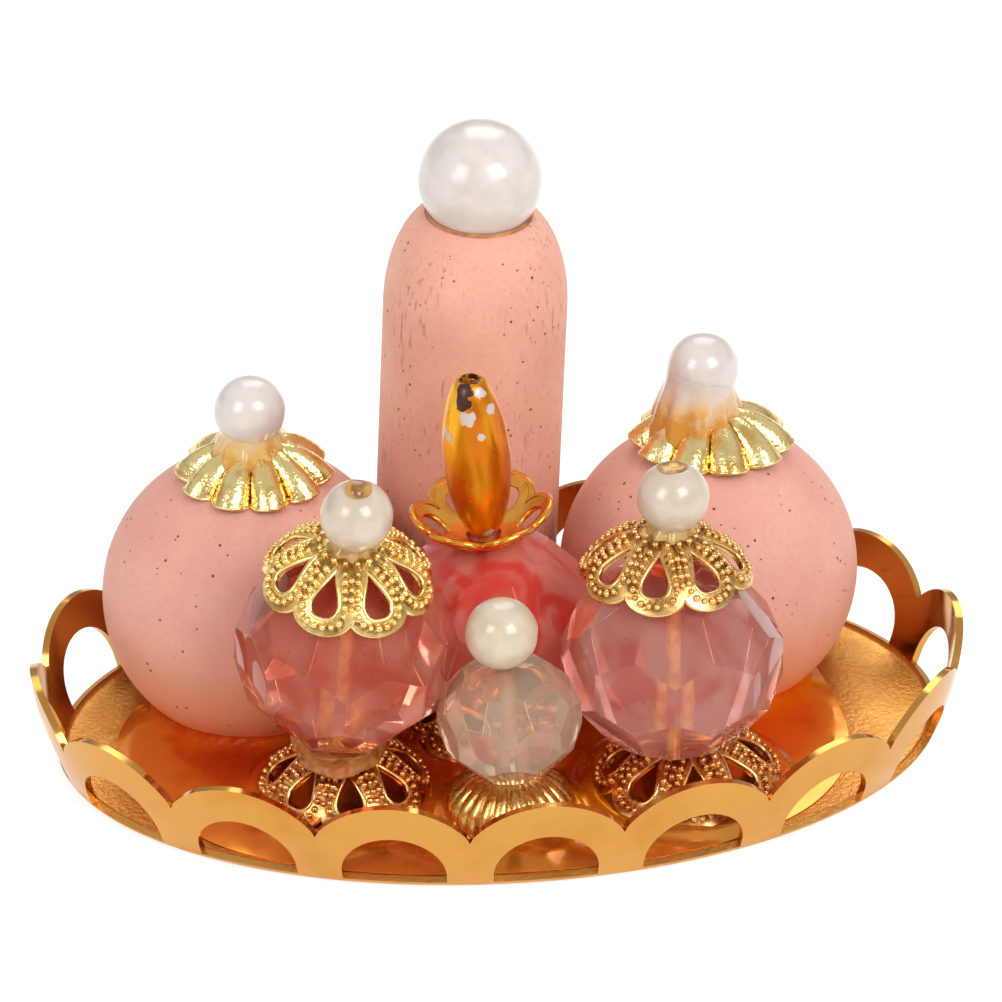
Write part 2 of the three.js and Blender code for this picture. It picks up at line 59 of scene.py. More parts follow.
CAMERA_AIM = Vector((0.1335, 0.0, 7.6811)) * MM
CAMERA_DISTANCE = 242.18 * MM
CAMERA_ELEVATION = radians(30.963)
CAMERA_YAW = radians(5.591)  # how far the camera stands to the left of the tray's front
CAMERA_ROLL = radians(-0.673)
CAMERA_LENS = 308.0  # on a 36 mm sensor


def add_camera():
    towards = Vector((
        -cos(CAMERA_ELEVATION) * sin(CAMERA_YAW), -cos(CAMERA_ELEVATION) * cos(CAMERA_YAW),
        sin(CAMERA_ELEVATION),
    ))
    level = Vector((0, 0, 1)).cross(towards).normalized()
    right = Matrix.Rotation(CAMERA_ROLL, 3, towards) @ level
    data = bpy.data.cameras.new("camera")
    data.lens = CAMERA_LENS
    data.clip_start = 0.01
    camera = bpy.data.objects.new("camera", data)
    turn = Matrix((right, towards.cross(right), towards)).transposed().to_4x4()
    camera.matrix_world = Matrix.Translation(CAMERA_AIM + CAMERA_DISTANCE * towards) @ turn
    bpy.context.scene.collection.objects.link(camera)
    bpy.context.scene.camera = camera


add_camera()

# ---- materials ----


def colour(red, green, blue):
    """A display colour, each part 0 to 255, as the linear colour that shaders use."""
    def linear(part):
        share = part / 255
        if share <= 0.04045:
            return share / 12.92
        return ((share + 0.055) / 1.055) ** 2.4
    return (linear(red), linear(green), linear(blue), 1.0)


LOOKS = {}


class Look:
    """A node material, kept in LOOKS by its name. Its patterns are laid out in millimetres of
    the CAD frame."""

    def __init__(self, name, **inputs):
        self.material = bpy.data.materials.new(name)
        self.material.use_nodes = True
        self.tree = self.material.node_tree
        self.shader = self.tree.nodes["Principled BSDF"]
        place = self.node("TexCoord").outputs["Object"]
        scale = self.node("VectorMath", {0: place, "Scale": 1 / MM}, operation="SCALE")
        self.place = scale.outputs[0]
        self.set(**inputs)
        LOOKS[name] = self.material

    def feed(self, socket, value):
        """Links a socket to the value, or sets it where the value is plain."""
        if isinstance(value, bpy.types.NodeSocket):
            self.tree.links.new(value, socket)
        else:
            socket.default_value = value

    def set(self, **inputs):
        for name, value in inputs.items():
            self.feed(self.shader.inputs[name.replace("_", " ")], value)

    def node(self, kind, inputs=(), **settings):
        """A new node, with its inputs given by name or by number."""
        made = self.tree.nodes.new("ShaderNode" + kind)
        for name, value in settings.items():
            setattr(made, name, value)
        for name, value in dict(inputs).items():
            self.feed(made.inputs[name], value)
        return made

    def level(self, axis):
        """The place's X, Y or Z."""
        return self.node("SeparateXYZ", {0: self.place}).outputs[axis]

    def stretched(self, z, x=1, y=1):
        """The place, with each of its parts multiplied, so that a pattern is drawn out."""
        return self.node("Mapping", {"Vector": self.place, "Scale": (x, y, z)}).outputs[0]

    def noise(self, size, detail=3, place=None, distortion=0):
        """Cloudy noise from 0 to 1 with patches of about this size."""
        return self.node("TexNoise", {
            "Vector": place or self.place, "Scale": 1 / size, "Detail": detail,
            "Distortion": distortion,
        }).outputs[0]

    def ramp(self, value, low, high, start=0, end=1):
        """The value moved from the range low to high into the range start to end."""
        return self.node("MapRange", {
            "Value": value, "From Min": low, "From Max": high, "To Min": start, "To Max": end,
        }, interpolation_type="SMOOTHSTEP").outputs[0]

    def clouds(self, size, low, high, start=0, end=1, **noise):
        """Noise with patches of about this size, ramped."""
        return self.ramp(self.noise(size, **noise), low, high, start, end)

    def specks(self, apart, size):
        """1 in small spots that are scattered about this far apart, and 0 between them. Their
        size is a share of how far apart they are."""
        spots = self.node("TexVoronoi", {"Vector": self.place, "Scale": 1 / apart})
        return self.sum(spots.outputs["Distance"], size, "LESS_THAN")

    def sum(self, first, second, operation="ADD"):
        return self.node("Math", {0: first, 1: second}, operation=operation).outputs[0]

    def mix(self, share, *tones):
        """One display colour turned into another as share goes from 0 to 1."""
        first, second = (colour(*tone) if isinstance(tone, tuple) else tone for tone in tones)
        first_input, second_input, colour_output = 6, 7, 2
        return self.node(
            "Mix", {0: share, first_input: first, second_input: second}, data_type="RGBA"
        ).outputs[colour_output]

    def bump(self, height, depth, strength):
        """Dents and rises of this depth, in millimetres, where height goes from 0 to 1."""
        made = self.node("Bump", {"Height": height, "Distance": depth * MM, "Strength": strength})
        self.set(Normal=made.outputs[0])

    def uneven(self, size, depth, strength, **noise):
        """Dents and rises about this wide."""
        self.bump(self.noise(size, **noise), depth, strength)

    def soften(self, share, *reach):
        """Lets light in, as far as this in red, green and blue, in millimetres."""
        self.set(Subsurface_Weight=share, Subsurface_Radius=[part * MM for part in reach])

    def near(self, point, radius, core):
        """1 in the core of a spot, a share of its radius across, falling to 0 round it."""
        away = self.node("VectorMath", {0: self.place, 1: point}, operation="DISTANCE")
        return self.ramp(away.outputs["Value"], radius * core, radius * core + radius, 1, 0)

    def along(self, point, axis):
        """How far the place is from a point along an axis, in millimetres."""
        away = self.node("VectorMath", {0: self.place, 1: point}, operation="SUBTRACT")
        return self.node(
            "VectorMath", {0: away.outputs[0], 1: axis}, operation="DOT_PRODUCT"
        ).outputs["Value"]

    def hollow(self, low, high):
        """1 where the surface is hollow or flat, falling to 0 where it bulges."""
        return self.ramp(self.node("NewGeometry").outputs["Pointiness"], low, high, 1, 0)


def gold(name, bright, dull, roughness, patch=0.5, pit=0.004, tarnish=0.55, low=None):
    """Plated metal: its colour wanders between two tones, and small pits break its shine.
    low is the colour of painted shade in its hollows, and how deep they have to be."""
    look = Look(name, Metallic=1)
    wander = look.clouds(patch, tarnish - 0.12, tarnish + 0.2, detail=4)
    tone = look.mix(wander, bright, dull)
    if low is not None:
        dark, start, end = low
        # Painted shade: the hollows, found by how the surface curves, are darkened to this colour.
        tone = look.mix(look.hollow(start, end), tone, dark)
    smears = look.clouds(patch / 3, 0.3, 0.7, roughness * 0.75, roughness * 1.5)
    look.set(Base_Color=tone, Roughness=smears)
    look.bump(look.sum(look.noise(0.1, detail=2), look.noise(0.3, detail=2)), pit, 0.6)


def tray_gold():
    """Bright plating that is satin and sandy where the floor of the tray is bare."""
    look = Look("tray_gold", Metallic=1)
    on_floor = look.ramp(look.level("Z"), 0.28, 0.4, 1, 0)
    satin = look.sum(on_floor, 0.24, "MULTIPLY")
    wander = look.clouds(2.2, 0.45, 0.75, detail=4)
    look.set(
        Base_Color=look.mix(wander, (213, 155, 78), (203, 142, 64)),
        Roughness=look.sum(look.clouds(0.9, 0.3, 0.7, 0.09, 0.2), satin),
    )
    look.bump(look.sum(look.clouds(0.14, 0.35, 0.65), on_floor, "MULTIPLY"), 0.012, 0.6)


def painted_wood(name, light, dark, grain):
    """Matt pink paint on turned wood, with fine dark specks, the grain where it shows, and a
    painted orange reflection of the gold tray low down.
    """
    look = Look(name, Roughness=0.62, Specular_IOR_Level=0.35)
    paint = look.mix(look.clouds(2.6, 0.35, 0.7, detail=2), light, dark)
    paint = look.mix(look.clouds(0.16, 0.42, 0.8, 0, 0.35), paint, (208, 140, 126))
    if grain:
        dashes = look.clouds(0.11, 0.58, 0.68, 0, 0.8, place=look.stretched(z=0.16))
        dashes = look.sum(dashes, look.clouds(1.8, 0.35, 0.65, detail=1), "MULTIPLY")
        paint = look.mix(dashes, paint, (184, 112, 100))
        look.uneven(0.13, 0.02, 0.6, place=look.stretched(z=0.25))
    else:
        look.uneven(0.2, 0.012, 0.5)
    # Painted reflection: the wood turns orange towards its foot, as if lit by the gold tray.
    paint = look.mix(look.ramp(look.level("Z"), 0.3, 5, 0.8, 0), paint, (240, 158, 110))
    specks = look.specks(0.31, look.clouds(0.9, 0.38, 0.64, 0, 0.15, detail=2))
    look.set(Base_Color=look.mix(specks, paint, (122, 52, 44)))
    look.soften(0.06, 0.5, 0.2, 0.15)


def pearl_look(name, body, shade):
    """Pearl coating: creamy and glossy, with a painted sheen that makes it duller where it turns
    away.
    """
    look = Look(name, Roughness=0.3, Coat_Weight=0.7, Coat_Roughness=0.14)
    # Painted sheen: the colour turns duller beige where the surface turns away from the view.
    painted_sheen = look.node("LayerWeight", {"Blend": 0.35}).outputs["Facing"]
    tone = look.mix(look.clouds(0.7, 0.35, 0.7, detail=2), body, shade)
    look.set(Base_Color=look.mix(look.ramp(painted_sheen, 0.35, 1, 0, 0.6), tone, (206, 190, 178)))
    look.soften(0.25, 0.6, 0.5, 0.4)
    look.uneven(0.6, 0.03, 0.4, detail=2)


def glass(name, tint, deep, clear, cloudiness):
    """Faceted glass whose tint gathers in clouds. It is a little milky, not quite clear."""
    look = Look(name, Roughness=0.03, IOR=1.5, Transmission_Weight=clear)
    cloud = look.clouds(1.5, 0.38, 0.66, 0, cloudiness, distortion=0.6)
    look.set(Base_Color=look.mix(cloud, tint, deep), Specular_Tint=colour(*tint))
    look.uneven(0.6, 0.004, 0.25, detail=1)


def coral_glass():
    """Milky coral glass with red streaks through it."""
    look = Look("coral_glass", Roughness=0.1, IOR=1.5, Transmission_Weight=0.35, Coat_Weight=0.12)
    streaks = look.clouds(1.5, 0.4, 0.6, detail=2, place=look.stretched(z=0.35), distortion=1.2)
    look.set(
        Base_Color=look.mix(streaks, (250, 148, 130), (246, 86, 74)),
        Specular_Tint=colour(250, 150, 130),
    )
    look.soften(0.3, 0.9, 0.4, 0.3)


def amber_glue():
    """Clear glue that has gone amber, lying over gilt: deep orange, red where it is thick,
    and yellower to the right and towards its edge."""
    look = Look("amber_glue", Metallic=0.7, Coat_Weight=0.45, Coat_Roughness=0.03)
    to_right = look.ramp(look.level("X"), -7, 8)
    tone = look.mix(
        look.clouds(3, 0.35, 0.62, distortion=0.5),
        look.mix(to_right, (236, 134, 34), (240, 168, 22)),
        look.mix(to_right, (210, 88, 24), (228, 120, 12)),
    )
    tone = look.mix(look.clouds(1.3, 0.5, 0.75, 0, 0.55, detail=2), tone, (190, 58, 20))
    # How far out a place is, as a share of an oval about as big as the glue.
    oval = look.stretched(x=1 / 10.3, y=1 / 7.6, z=0)
    outward = look.node("VectorMath", {0: oval}, operation="LENGTH").outputs["Value"]
    outward = look.sum(outward, look.clouds(1.1, 0.3, 0.7, -0.06, 0.06))
    look.set(
        Base_Color=look.mix(look.ramp(outward, 0.84, 1, 0, 0.8), tone, (236, 158, 62)),
        Specular_Tint=colour(240, 150, 80), Roughness=look.clouds(0.8, 0.3, 0.7, 0.08, 0.26),
    )
    look.uneven(1.6, 0.03, 0.5, detail=2)


def pin_look(name, bright, dull, metallic, clear=0):
    """Gilt wire with glue round it, or only the glue where it is clear and not metallic."""
    look = Look(name, Metallic=metallic, Roughness=0.3, Coat_Weight=0.5, Transmission_Weight=clear)
    look.set(Base_Color=look.mix(look.clouds(0.5, 0.35, 0.65), bright, dull))
    look.uneven(0.2, 0.01, 0.5, detail=2)


def stopper_look(chips, hole):
    """Amber lacquer over a pearl bead. Where it is chipped, grey pearl shows. Its drilled hole
    and a pit beside it are dark with painted shade."""
    look = Look("amber_lacquer", Coat_Weight=0.12, Coat_Roughness=0.1)
    ragged = look.clouds(0.22, 0.3, 0.7, -0.3, 0.3)

    def patch(spots, core, low, high):
        """1 on any of the spots, with a ragged edge."""
        inside = look.near(*spots[0], core)
        for spot in spots[1:]:
            inside = look.sum(inside, look.near(*spot, core), "MAXIMUM")
        return look.ramp(look.sum(inside, ragged), low, high)

    # pit marks painted shade: dark spots at the drilled hole and at a pit beside it.
    bare, pit = patch(chips, 0.3, 0.5, 0.7), patch(hole, 0.6, 0.45, 0.65)
    streaks = look.clouds(1.1, 0.42, 0.62, detail=1, place=look.stretched(z=0.3))
    tone = look.mix(bare, look.mix(streaks, (212, 116, 4), (242, 174, 30)), (198, 186, 180))
    look.set(
        # Painted shade: the hole and the pit are painted dark brown.
        Base_Color=look.mix(pit, tone, (64, 26, 8)),
        Metallic=look.ramp(look.sum(bare, pit, "MAXIMUM"), 0, 1, 0.85, 0.1),
        Roughness=look.clouds(0.5, 0.3, 0.7, 0.26, 0.36),
    )
    look.bump(look.sum(1, look.sum(bare, pit), "SUBTRACT"), 0.02, 0.6)


def cloudy_glue(name, pale, dark, clear, lumps=0.02):
    """Hazy glue with bits of gilt in it."""
    look = Look(name, Roughness=0.14, IOR=1.3, Transmission_Weight=clear, Coat_Weight=0.8)
    tone = look.mix(look.clouds(0.6, 0.35, 0.68, distortion=0.8), pale, dark)
    look.set(Base_Color=look.mix(look.specks(0.28, 0.035), tone, (196, 120, 40)))
    look.soften(0.3, 0.6, 0.4, 0.25)
    look.uneven(0.3, lumps, 0.5, detail=2)


def pearl_glue_look(side, upper, lower, gathered):
    """Glue that is a clear film where it climbs a pearl, so that the pearl shows through, and
    yellower down on the cap."""
    look = Look(
        f"{side}_pearl_glue", Roughness=0.16, IOR=1.3, Transmission_Weight=0.18, Coat_Weight=0.8
    )
    axis = tuple(Seat(f"{side}_ball_cap").turn[2])
    height = look.along(tuple(middle(f"{side}_ball_pearl")), axis)
    height = look.sum(height, look.clouds(0.45, 0.3, 0.7, -0.22, 0.22))
    tone = look.mix(look.ramp(height, -0.95, -0.2), lower, upper)
    tone = look.mix(look.ramp(height, -1.35, -0.85, 1, 0), tone, gathered)
    look.set(Base_Color=look.mix(look.specks(0.3, 0.03), tone, (200, 130, 50)))
    look.soften(0.3, 0.6, 0.45, 0.3)
    look.uneven(0.25, 0.02, 0.5, detail=2)


# ---- measuring the CAD ----


UPRIGHT = np.array((0.0, 0.0, 1.0))


def span(node):
    """The two corners of the node's box, in millimetres."""
    return [np.array(corner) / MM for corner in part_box(node)]


def middle(node):
    return sum(span(node)) / 2


def corners_of(node):
    corners = [corner.co[:] for corner in frame["nodes"][node].data.vertices]
    return np.unique((np.array(corners) / MM).round(5), axis=0)


def axis_of(corners):
    """The upward axis of a shape that repeats round it: the corners spread alike in the two
    directions across the axis, and differently along it."""
    spread, directions = np.linalg.eigh(np.cov(corners.T))
    axis = directions[:, 2 if spread[2] - spread[1] > spread[1] - spread[0] else 0]
    return axis * copysign(1, axis[2])


class Seat:
    """Where a turned or pressed piece stands. Its origin is on the axis, level with the
    piece's lowest corner along the axis, and its first direction is +X made square to it, or
    points to the tip of one of its petals."""

    def __init__(self, node, axis=None, to_first_petal=False):
        corners = corners_of(node)
        centre = corners.mean(axis=0)
        axis = axis_of(corners) if axis is None else axis
        along = (corners - centre) @ axis
        outward = corners - centre - np.outer(along, axis)
        reach = np.linalg.norm(outward, axis=1)
        first = outward[reach.argmax()] if to_first_petal else np.array((1.0, 0.0, 0.0))
        first = first - (first @ axis) * axis
        first /= np.linalg.norm(first)
        self.origin = centre + along.min() * axis
        self.height = along.max() - along.min()
        self.radius = reach.max()
        self.turn = np.stack([first, np.cross(axis, first), axis])

    def place(self, points):
        return np.asarray(points, float) @ self.turn + self.origin


# ---- making meshes ----


class Shape:
    """Closed solids that go into one mesh, as points in millimetres and faces."""

    def __init__(self, points=(), faces=()):
        self.points, self.faces = [], []
        self.add(points, faces)

    def add(self, points, faces):
        start = len(self.points)
        self.points.extend(map(tuple, points))
        self.faces.extend(tuple(start + corner for corner in face) for face in faces)
        return self


def ring_faces(rings, around, closed):
    """Quads between neighbouring rings of points. A closed set joins its last to its first."""
    faces = []
    for ring in range(rings if closed else rings - 1):
        here, above = ring * around, ((ring + 1) % rings) * around
        for step in range(around):
            after = (step + 1) % around
            faces.append((here + step, here + after, above + after, above + step))
    return faces


def grid_faces(rows, columns, start=0):
    """Quads between the rows of a grid of points, whose first is at start."""
    corners = (0, 1, columns + 1, columns)
    return [
        tuple(start + row * columns + column + corner for corner in corners)
        for row in range(rows - 1) for column in range(columns - 1)
    ]


def fan(tip, start, around):
    """Triangles from one point to a ring of points, whose first is at start."""
    return [(tip, start + step, start + (step + 1) % around) for step in range(around)]


def turned(profile, around, seat, change=None):
    """A turned solid. Its profile holds [radius, height] pairs up the outside and back down
    the inside; one that starts and ends at radius 0 is closed by its two ends."""
    profile = np.asarray(profile, float)
    solid = profile[0][0] == 0
    rows = profile[1:-1] if solid else profile
    angles = np.arange(around) * FULL_TURN / around
    points = np.stack([
        np.outer(rows[:, 0], np.cos(angles)),
        np.outer(rows[:, 0], np.sin(angles)),
        np.outer(rows[:, 1], np.ones(around)),
    ], axis=2).reshape(-1, 3)
    faces = ring_faces(len(rows), around, closed=not solid)
    if solid:
        count = len(points)
        points = np.vstack([points, [[0, 0, profile[0][1]], [0, 0, profile[-1][1]]]])
        faces += fan(count, 0, around) + fan(count + 1, count - around, around)
    if change is not None:
        points = change(points)
    return Shape(seat.place(points), faces)


def uneven(swell, inside):
    """A change to a turned solid: a swelling outwards, as a share, that depends on the turn
    and the height. What is nearer to the axis than inside stays as it is."""
    def change(points):
        x, y, height = points.T
        share = 1 + np.where(np.hypot(x, y) > inside, swell(np.arctan2(y, x), height), 0)
        return np.stack([x * share, y * share, height], axis=1)

    return change


def arc(centre, radius, start, end, steps):
    """Points on an arc about [radius, height], between two angles in degrees."""
    return [
        (centre[0] + radius * cos(angle), centre[1] + radius * sin(angle))
        for angle in np.radians(np.linspace(start, end, steps + 1))
    ]


def smooth_line(corners, steps, closed=False):
    """A smooth line through points, with this many steps between neighbours."""
    corners = np.asarray(corners, float)
    count = len(corners)
    line = []
    for index in range(count if closed else count - 1):
        near = [(index + offset) % count for offset in (-1, 0, 1, 2)]
        if not closed:
            near = [min(max(index + offset, 0), count - 1) for offset in (-1, 0, 1, 2)]
        before, start, end, after = corners[near]
        for t in np.arange(steps) / steps:
            line.append(0.5 * (
                2 * start + (end - before) * t
                + (2 * before - 5 * start + 4 * end - after) * t ** 2
                + (3 * start - before - 3 * end + after) * t ** 3
            ))
    if not closed:
        line.append(corners[-1])
    return np.array(line)


def closed_sheet(front, back, faces):
    """A thin sheet as a closed solid: its two faces, and walls along its free edges. Points
    that lie together are joined."""
    keys = np.round(np.hstack([front, back]), 5)
    _, first, where = np.unique(keys, axis=0, return_index=True, return_inverse=True)
    where = where.ravel()
    joined = []
    for face in faces:
        corners = [int(where[corner]) for corner in face]
        kept = [corner for place, corner in enumerate(corners) if corner != corners[place - 1]]
        if len(kept) > 2:
            joined.append(tuple(kept))
    edges = {edge for face in joined for edge in zip(face, face[1:] + face[:1])}
    count = len(first)
    walls = [(b, a, a + count, b + count) for a, b in edges if (b, a) not in edges]
    under = [tuple(corner + count for corner in reversed(face)) for face in joined]
    return np.vstack([front[first], back[first]]), joined + under + walls


def wire(path, outward, radius, sides=8):
    """A closed round wire along a path. outward is the direction of the surface it lies on."""
    along = np.roll(path, -1, axis=0) - np.roll(path, 1, axis=0)
    along /= np.linalg.norm(along, axis=1)[:, None]
    across = np.cross(along, outward)
    across /= np.linalg.norm(across, axis=1)[:, None]
    above = np.cross(across, along)
    angles = (np.arange(sides) * FULL_TURN / sides)[None, :, None]
    points = (
        path[:, None, :]
        + radius * np.cos(angles) * above[:, None, :]
        + radius * np.sin(angles) * across[:, None, :]
    )
    return points.reshape(-1, 3), ring_faces(len(path), sides, closed=True)


def unit_ball():
    ball = bmesh.new()
    bmesh.ops.create_icosphere(ball, subdivisions=2, radius=1.0)
    points = np.array([corner.co[:] for corner in ball.verts])
    faces = [tuple(corner.index for corner in face.verts) for face in ball.faces]
    ball.free()
    return points, faces


GRAIN = unit_ball()


def add_piece(name, shape, look, sharp, node=None):
    """Makes a mesh and puts it on the object's one body, in the place of its CAD node. Edges
    that bend by more than sharp, in degrees, stay crisp."""
    mesh = bpy.data.meshes.new(name)
    points = [tuple(MM * part for part in point) for point in shape.points]
    mesh.from_pydata(points, [], shape.faces)
    tidy = bmesh.new()
    tidy.from_mesh(mesh)
    bmesh.ops.recalc_face_normals(tidy, faces=tidy.faces)
    tidy.to_mesh(mesh)
    tidy.free()
    mesh.polygons.foreach_set("use_smooth", [True] * len(mesh.polygons))
    mesh.set_sharp_from_angle(angle=radians(sharp))
    mesh.materials.append(LOOKS[look])
    piece = bpy.data.objects.new(name, mesh)
    bpy.context.scene.collection.objects.link(piece)
    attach(piece, "root")
    if node is not None:
        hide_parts(node)


# ---- tray ----

# The sheet's middle is followed from the floor, round the fold and up the leaning wall.
HALF_LENGTH, HALF_WIDTH, TRAY_SHEET = 12.7, 8.22, 0.21
LEAN_AT_FLOOR, LEAN_AT_TOP = radians(22.8), radians(5.2)
WALL_INSET, FOLD = 0.145, 0.3
ARCHES, FIRST_ARCH = 16, 0.111  # the first arch's middle is this share of an arch round
ARCH_CENTRE, ARCH_INSIDE, ARCH_OUTSIDE = 0.35, 1.505, 2.62
WALL_LENGTH = ARCH_CENTRE + ARCH_OUTSIDE
WALL_BEND = (LEAN_AT_TOP - LEAN_AT_FLOOR) / WALL_LENGTH
RIM_ANGLES = np.linspace(0, FULL_TURN, 1441)


def wall_section(length):
    """The wall's middle at a length up it: how far out and up it is, and its lean."""
    lean = LEAN_AT_FLOOR + WALL_BEND * length
    out = (cos(LEAN_AT_FLOOR) - np.cos(lean)) / WALL_BEND
    up = TRAY_SHEET + (np.sin(lean) - sin(LEAN_AT_FLOOR)) / WALL_BEND
    return out - WALL_INSET * np.cos(lean), up + WALL_INSET * np.sin(lean), lean


def ellipse_at(angle):
    """Points on the oval that the wall stands on, and the way it faces there."""
    x, y = np.cos(angle), np.sin(angle)
    outward = np.stack([x / HALF_LENGTH, y / HALF_WIDTH], axis=-1)
    outward /= np.linalg.norm(outward, axis=-1)[..., None]
    return np.stack([HALF_LENGTH * x, HALF_WIDTH * y], axis=-1), outward


def rim_distance():
    """How far round the wall, half way up it, each of the rim's angles is."""
    point, outward = ellipse_at(RIM_ANGLES)
    point = point + outward * (wall_section(WALL_LENGTH / 2)[0] + WALL_INSET)
    steps = np.linalg.norm(np.diff(point, axis=0), axis=1)
    return np.concatenate([[0.0], np.cumsum(steps)])


RIM_DISTANCE = rim_distance()
PITCH = RIM_DISTANCE[-1] / ARCHES


def on_tray(distance, out, up, lean):
    """The two faces of the sheet where its middle is this far out and up, round the rim."""
    angle = np.interp(np.mod(distance, RIM_DISTANCE[-1]), RIM_DISTANCE, RIM_ANGLES)
    point, outward = ellipse_at(angle)
    faces = []
    for half in (TRAY_SHEET / 2, -TRAY_SHEET / 2):
        flat = point + outward * np.asarray(out + half * np.cos(lean))[..., None]
        height = np.broadcast_to(up - half * np.sin(lean), angle.shape)
        faces.append(np.concatenate([flat, height[..., None]], axis=-1))
    return faces


def on_arch(radius, angle):
    """A place on an arch's curve: [distance from its middle, length up the wall]."""
    return radius * cos(angle), ARCH_CENTRE + radius * sin(angle)


def half_arch(foot, steps, bands):
    """Places all over one half of an arch, from its outside to its inside."""
    notch_angle = acos(PITCH / 2 / ARCH_OUTSIDE)
    notch = on_arch(ARCH_OUTSIDE, notch_angle)[1] - ARCH_CENTRE
    straight = 0.305  # the share of the steps that go up beside the next arch
    lengths = np.linspace(foot, ARCH_CENTRE, 3)
    inner = [(ARCH_INSIDE, length) for length in lengths]
    outer = [(PITCH / 2, length) for length in lengths]
    for share in np.linspace(0, 1, steps + 1)[1:]:
        inner.append(on_arch(ARCH_INSIDE, share * pi / 2))
        if share <= straight:
            outer.append((PITCH / 2, ARCH_CENTRE + notch * share / straight))
        else:
            over = (share - straight) / (1 - straight)
            outer.append(on_arch(ARCH_OUTSIDE, notch_angle + (pi / 2 - notch_angle) * over))
    mix = np.linspace(0, 1, bands + 1)[None, :, None]
    return np.array(outer)[:, None, :] * (1 - mix) + np.array(inner)[:, None, :] * mix


def make_tray():
    fold_angle = pi / 2 - LEAN_AT_FLOOR
    tangent = FOLD * tan(fold_angle / 2)
    out, up, lean = wall_section(0.0)
    floor_middle = TRAY_SHEET / 2
    down = (up - floor_middle) / cos(lean)
    fold_start = out - down * sin(lean) - tangent
    fold_rows = [
        (fold_start + FOLD * sin(angle), floor_middle + FOLD * (1 - cos(angle)), pi / 2 - angle)
        for angle in np.linspace(0, fold_angle, 7)
    ]

    # Places round one arch, from one pillar's middle to the next.
    steps, bands = 14, 5
    pillar = np.linspace(PITCH / 2, ARCH_INSIDE, bands + 1)
    span = np.linspace(ARCH_INSIDE, -ARCH_INSIDE, steps + 1)[1:-1]
    places = np.concatenate([-pillar, -span, pillar[::-1]])
    arches = PITCH * (np.arange(ARCHES) + FIRST_ARCH)
    fronts, backs, faces = [], [], []
    count = 0

    def add_grid(front, back, flip=False):
        """Adds both faces of a grid of places. flip turns it inside out."""
        nonlocal count
        rows, columns = front.shape[:2]
        fronts.append(front.reshape(-1, 3))
        backs.append(back.reshape(-1, 3))
        for face in grid_faces(rows, columns, count):
            faces.append(face[::-1] if flip else face)
        count += rows * columns

    half = half_arch(tangent - down, steps, bands)
    for centre in arches:
        rows = [on_tray(centre + places, *row) for row in fold_rows]
        add_grid(*(np.stack(side) for side in zip(*rows)))
        for side in (-1, 1):
            places_on = centre + side * half[..., 0]
            add_grid(*on_tray(places_on, *wall_section(half[..., 1])), flip=side > 0)

    # The floor, in rings that shrink towards the middle.
    edge = np.concatenate([centre + places[:-1] for centre in arches])
    edges = on_tray(np.append(edge, edge[0]), *fold_rows[0])
    rings = [side[None] * np.linspace(0.0, 1.0, 14)[1:, None, None] for side in edges]
    for ring, side in zip(rings, edges):
        ring[..., 2] = side[0, 2]
    add_grid(*rings)
    first_ring = count - rings[0].shape[0] * rings[0].shape[1]
    for part, side in zip((fronts, backs), edges):
        part.append(np.array([[0, 0, side[0, 2]]]))
    for step in range(first_ring, first_ring + len(edge)):
        faces.append((step, step + 1, count))
    return Shape(*closed_sheet(np.vstack(fronts), np.vstack(backs), faces))


# ---- glue pool ----


def make_glue_pool():
    """The glue on the floor. It is lowest at its edge and climbs against what stands in it."""
    outline = np.unique(corners_of("glue_pool")[:, :2].round(4), axis=0)
    outline = outline[np.argsort(np.arctan2(outline[:, 1], outline[:, 0]))]
    edge = smooth_line(outline, 5, closed=True)
    base, top = (corner[2] for corner in span("glue_pool"))

    # What stands in the glue: where, how wide it is, and how far the glue climbs it.
    standing = [(middle("tall_bottle_body"), TALL["radius"] + 0.05, 0.25)]
    for ball in ("left_ball_body", "right_ball_body"):
        standing.append((middle(ball), ball_sizes(ball)[2] + 0.15, 0.34))
    for bottle, wider, climb in (
        ("front_left", 0.05, 0.24), ("front_right", 0.05, 0.24), ("middle", 0.05, 0.24),
        ("front_centre", 0, 0.18),
    ):
        low, high = span(f"{bottle}_foot_cap")
        standing.append(((low + high) / 2, (high[0] - low[0]) / 2 + wider, climb))

    rings, climb_width, edge_width, sunk = 44, 0.3, 1.3, 0.02
    shares = np.linspace(0, 1, rings + 1)[1:] ** 0.8
    flat = edge[None, :, :] * shares[:, None, None]
    height = np.full(flat.shape[:2], top - base)
    for place, reach, climb in standing:
        away = np.linalg.norm(flat - place[:2], axis=2) - reach
        turn = np.arctan2(flat[..., 1] - place[1], flat[..., 0] - place[0])
        wobble = 1 + 0.35 * np.sin(3 * turn)
        height += climb * wobble * np.exp(-(away / climb_width) ** 2)
    height += 0.025 * np.sin(flat[..., 0] * 1.3 + 1) * np.sin(flat[..., 1] * 1.7)
    from_edge = np.linalg.norm(edge, axis=1)[None, :] * (1 - shares[:, None])
    thinning = np.clip(from_edge / edge_width, 0, 1)
    height *= thinning * (2 - thinning) * 0.97 + 0.03
    upper = np.concatenate([flat, (base + height)[..., None]], axis=2)
    lower = np.concatenate([flat[-1], np.full((len(edge), 1), base - sunk)], axis=1)
    points = np.vstack([upper.reshape(-1, 3), lower, [[0, 0, top], [0, 0, base - sunk]]])
    around = len(edge)
    faces = ring_faces(rings + 1, around, closed=False)
    faces += fan(len(points) - 2, 0, around) + fan(len(points) - 1, rings * around, around)
    return Shape(points, faces)


# ---- balls, bodies and pearls ----

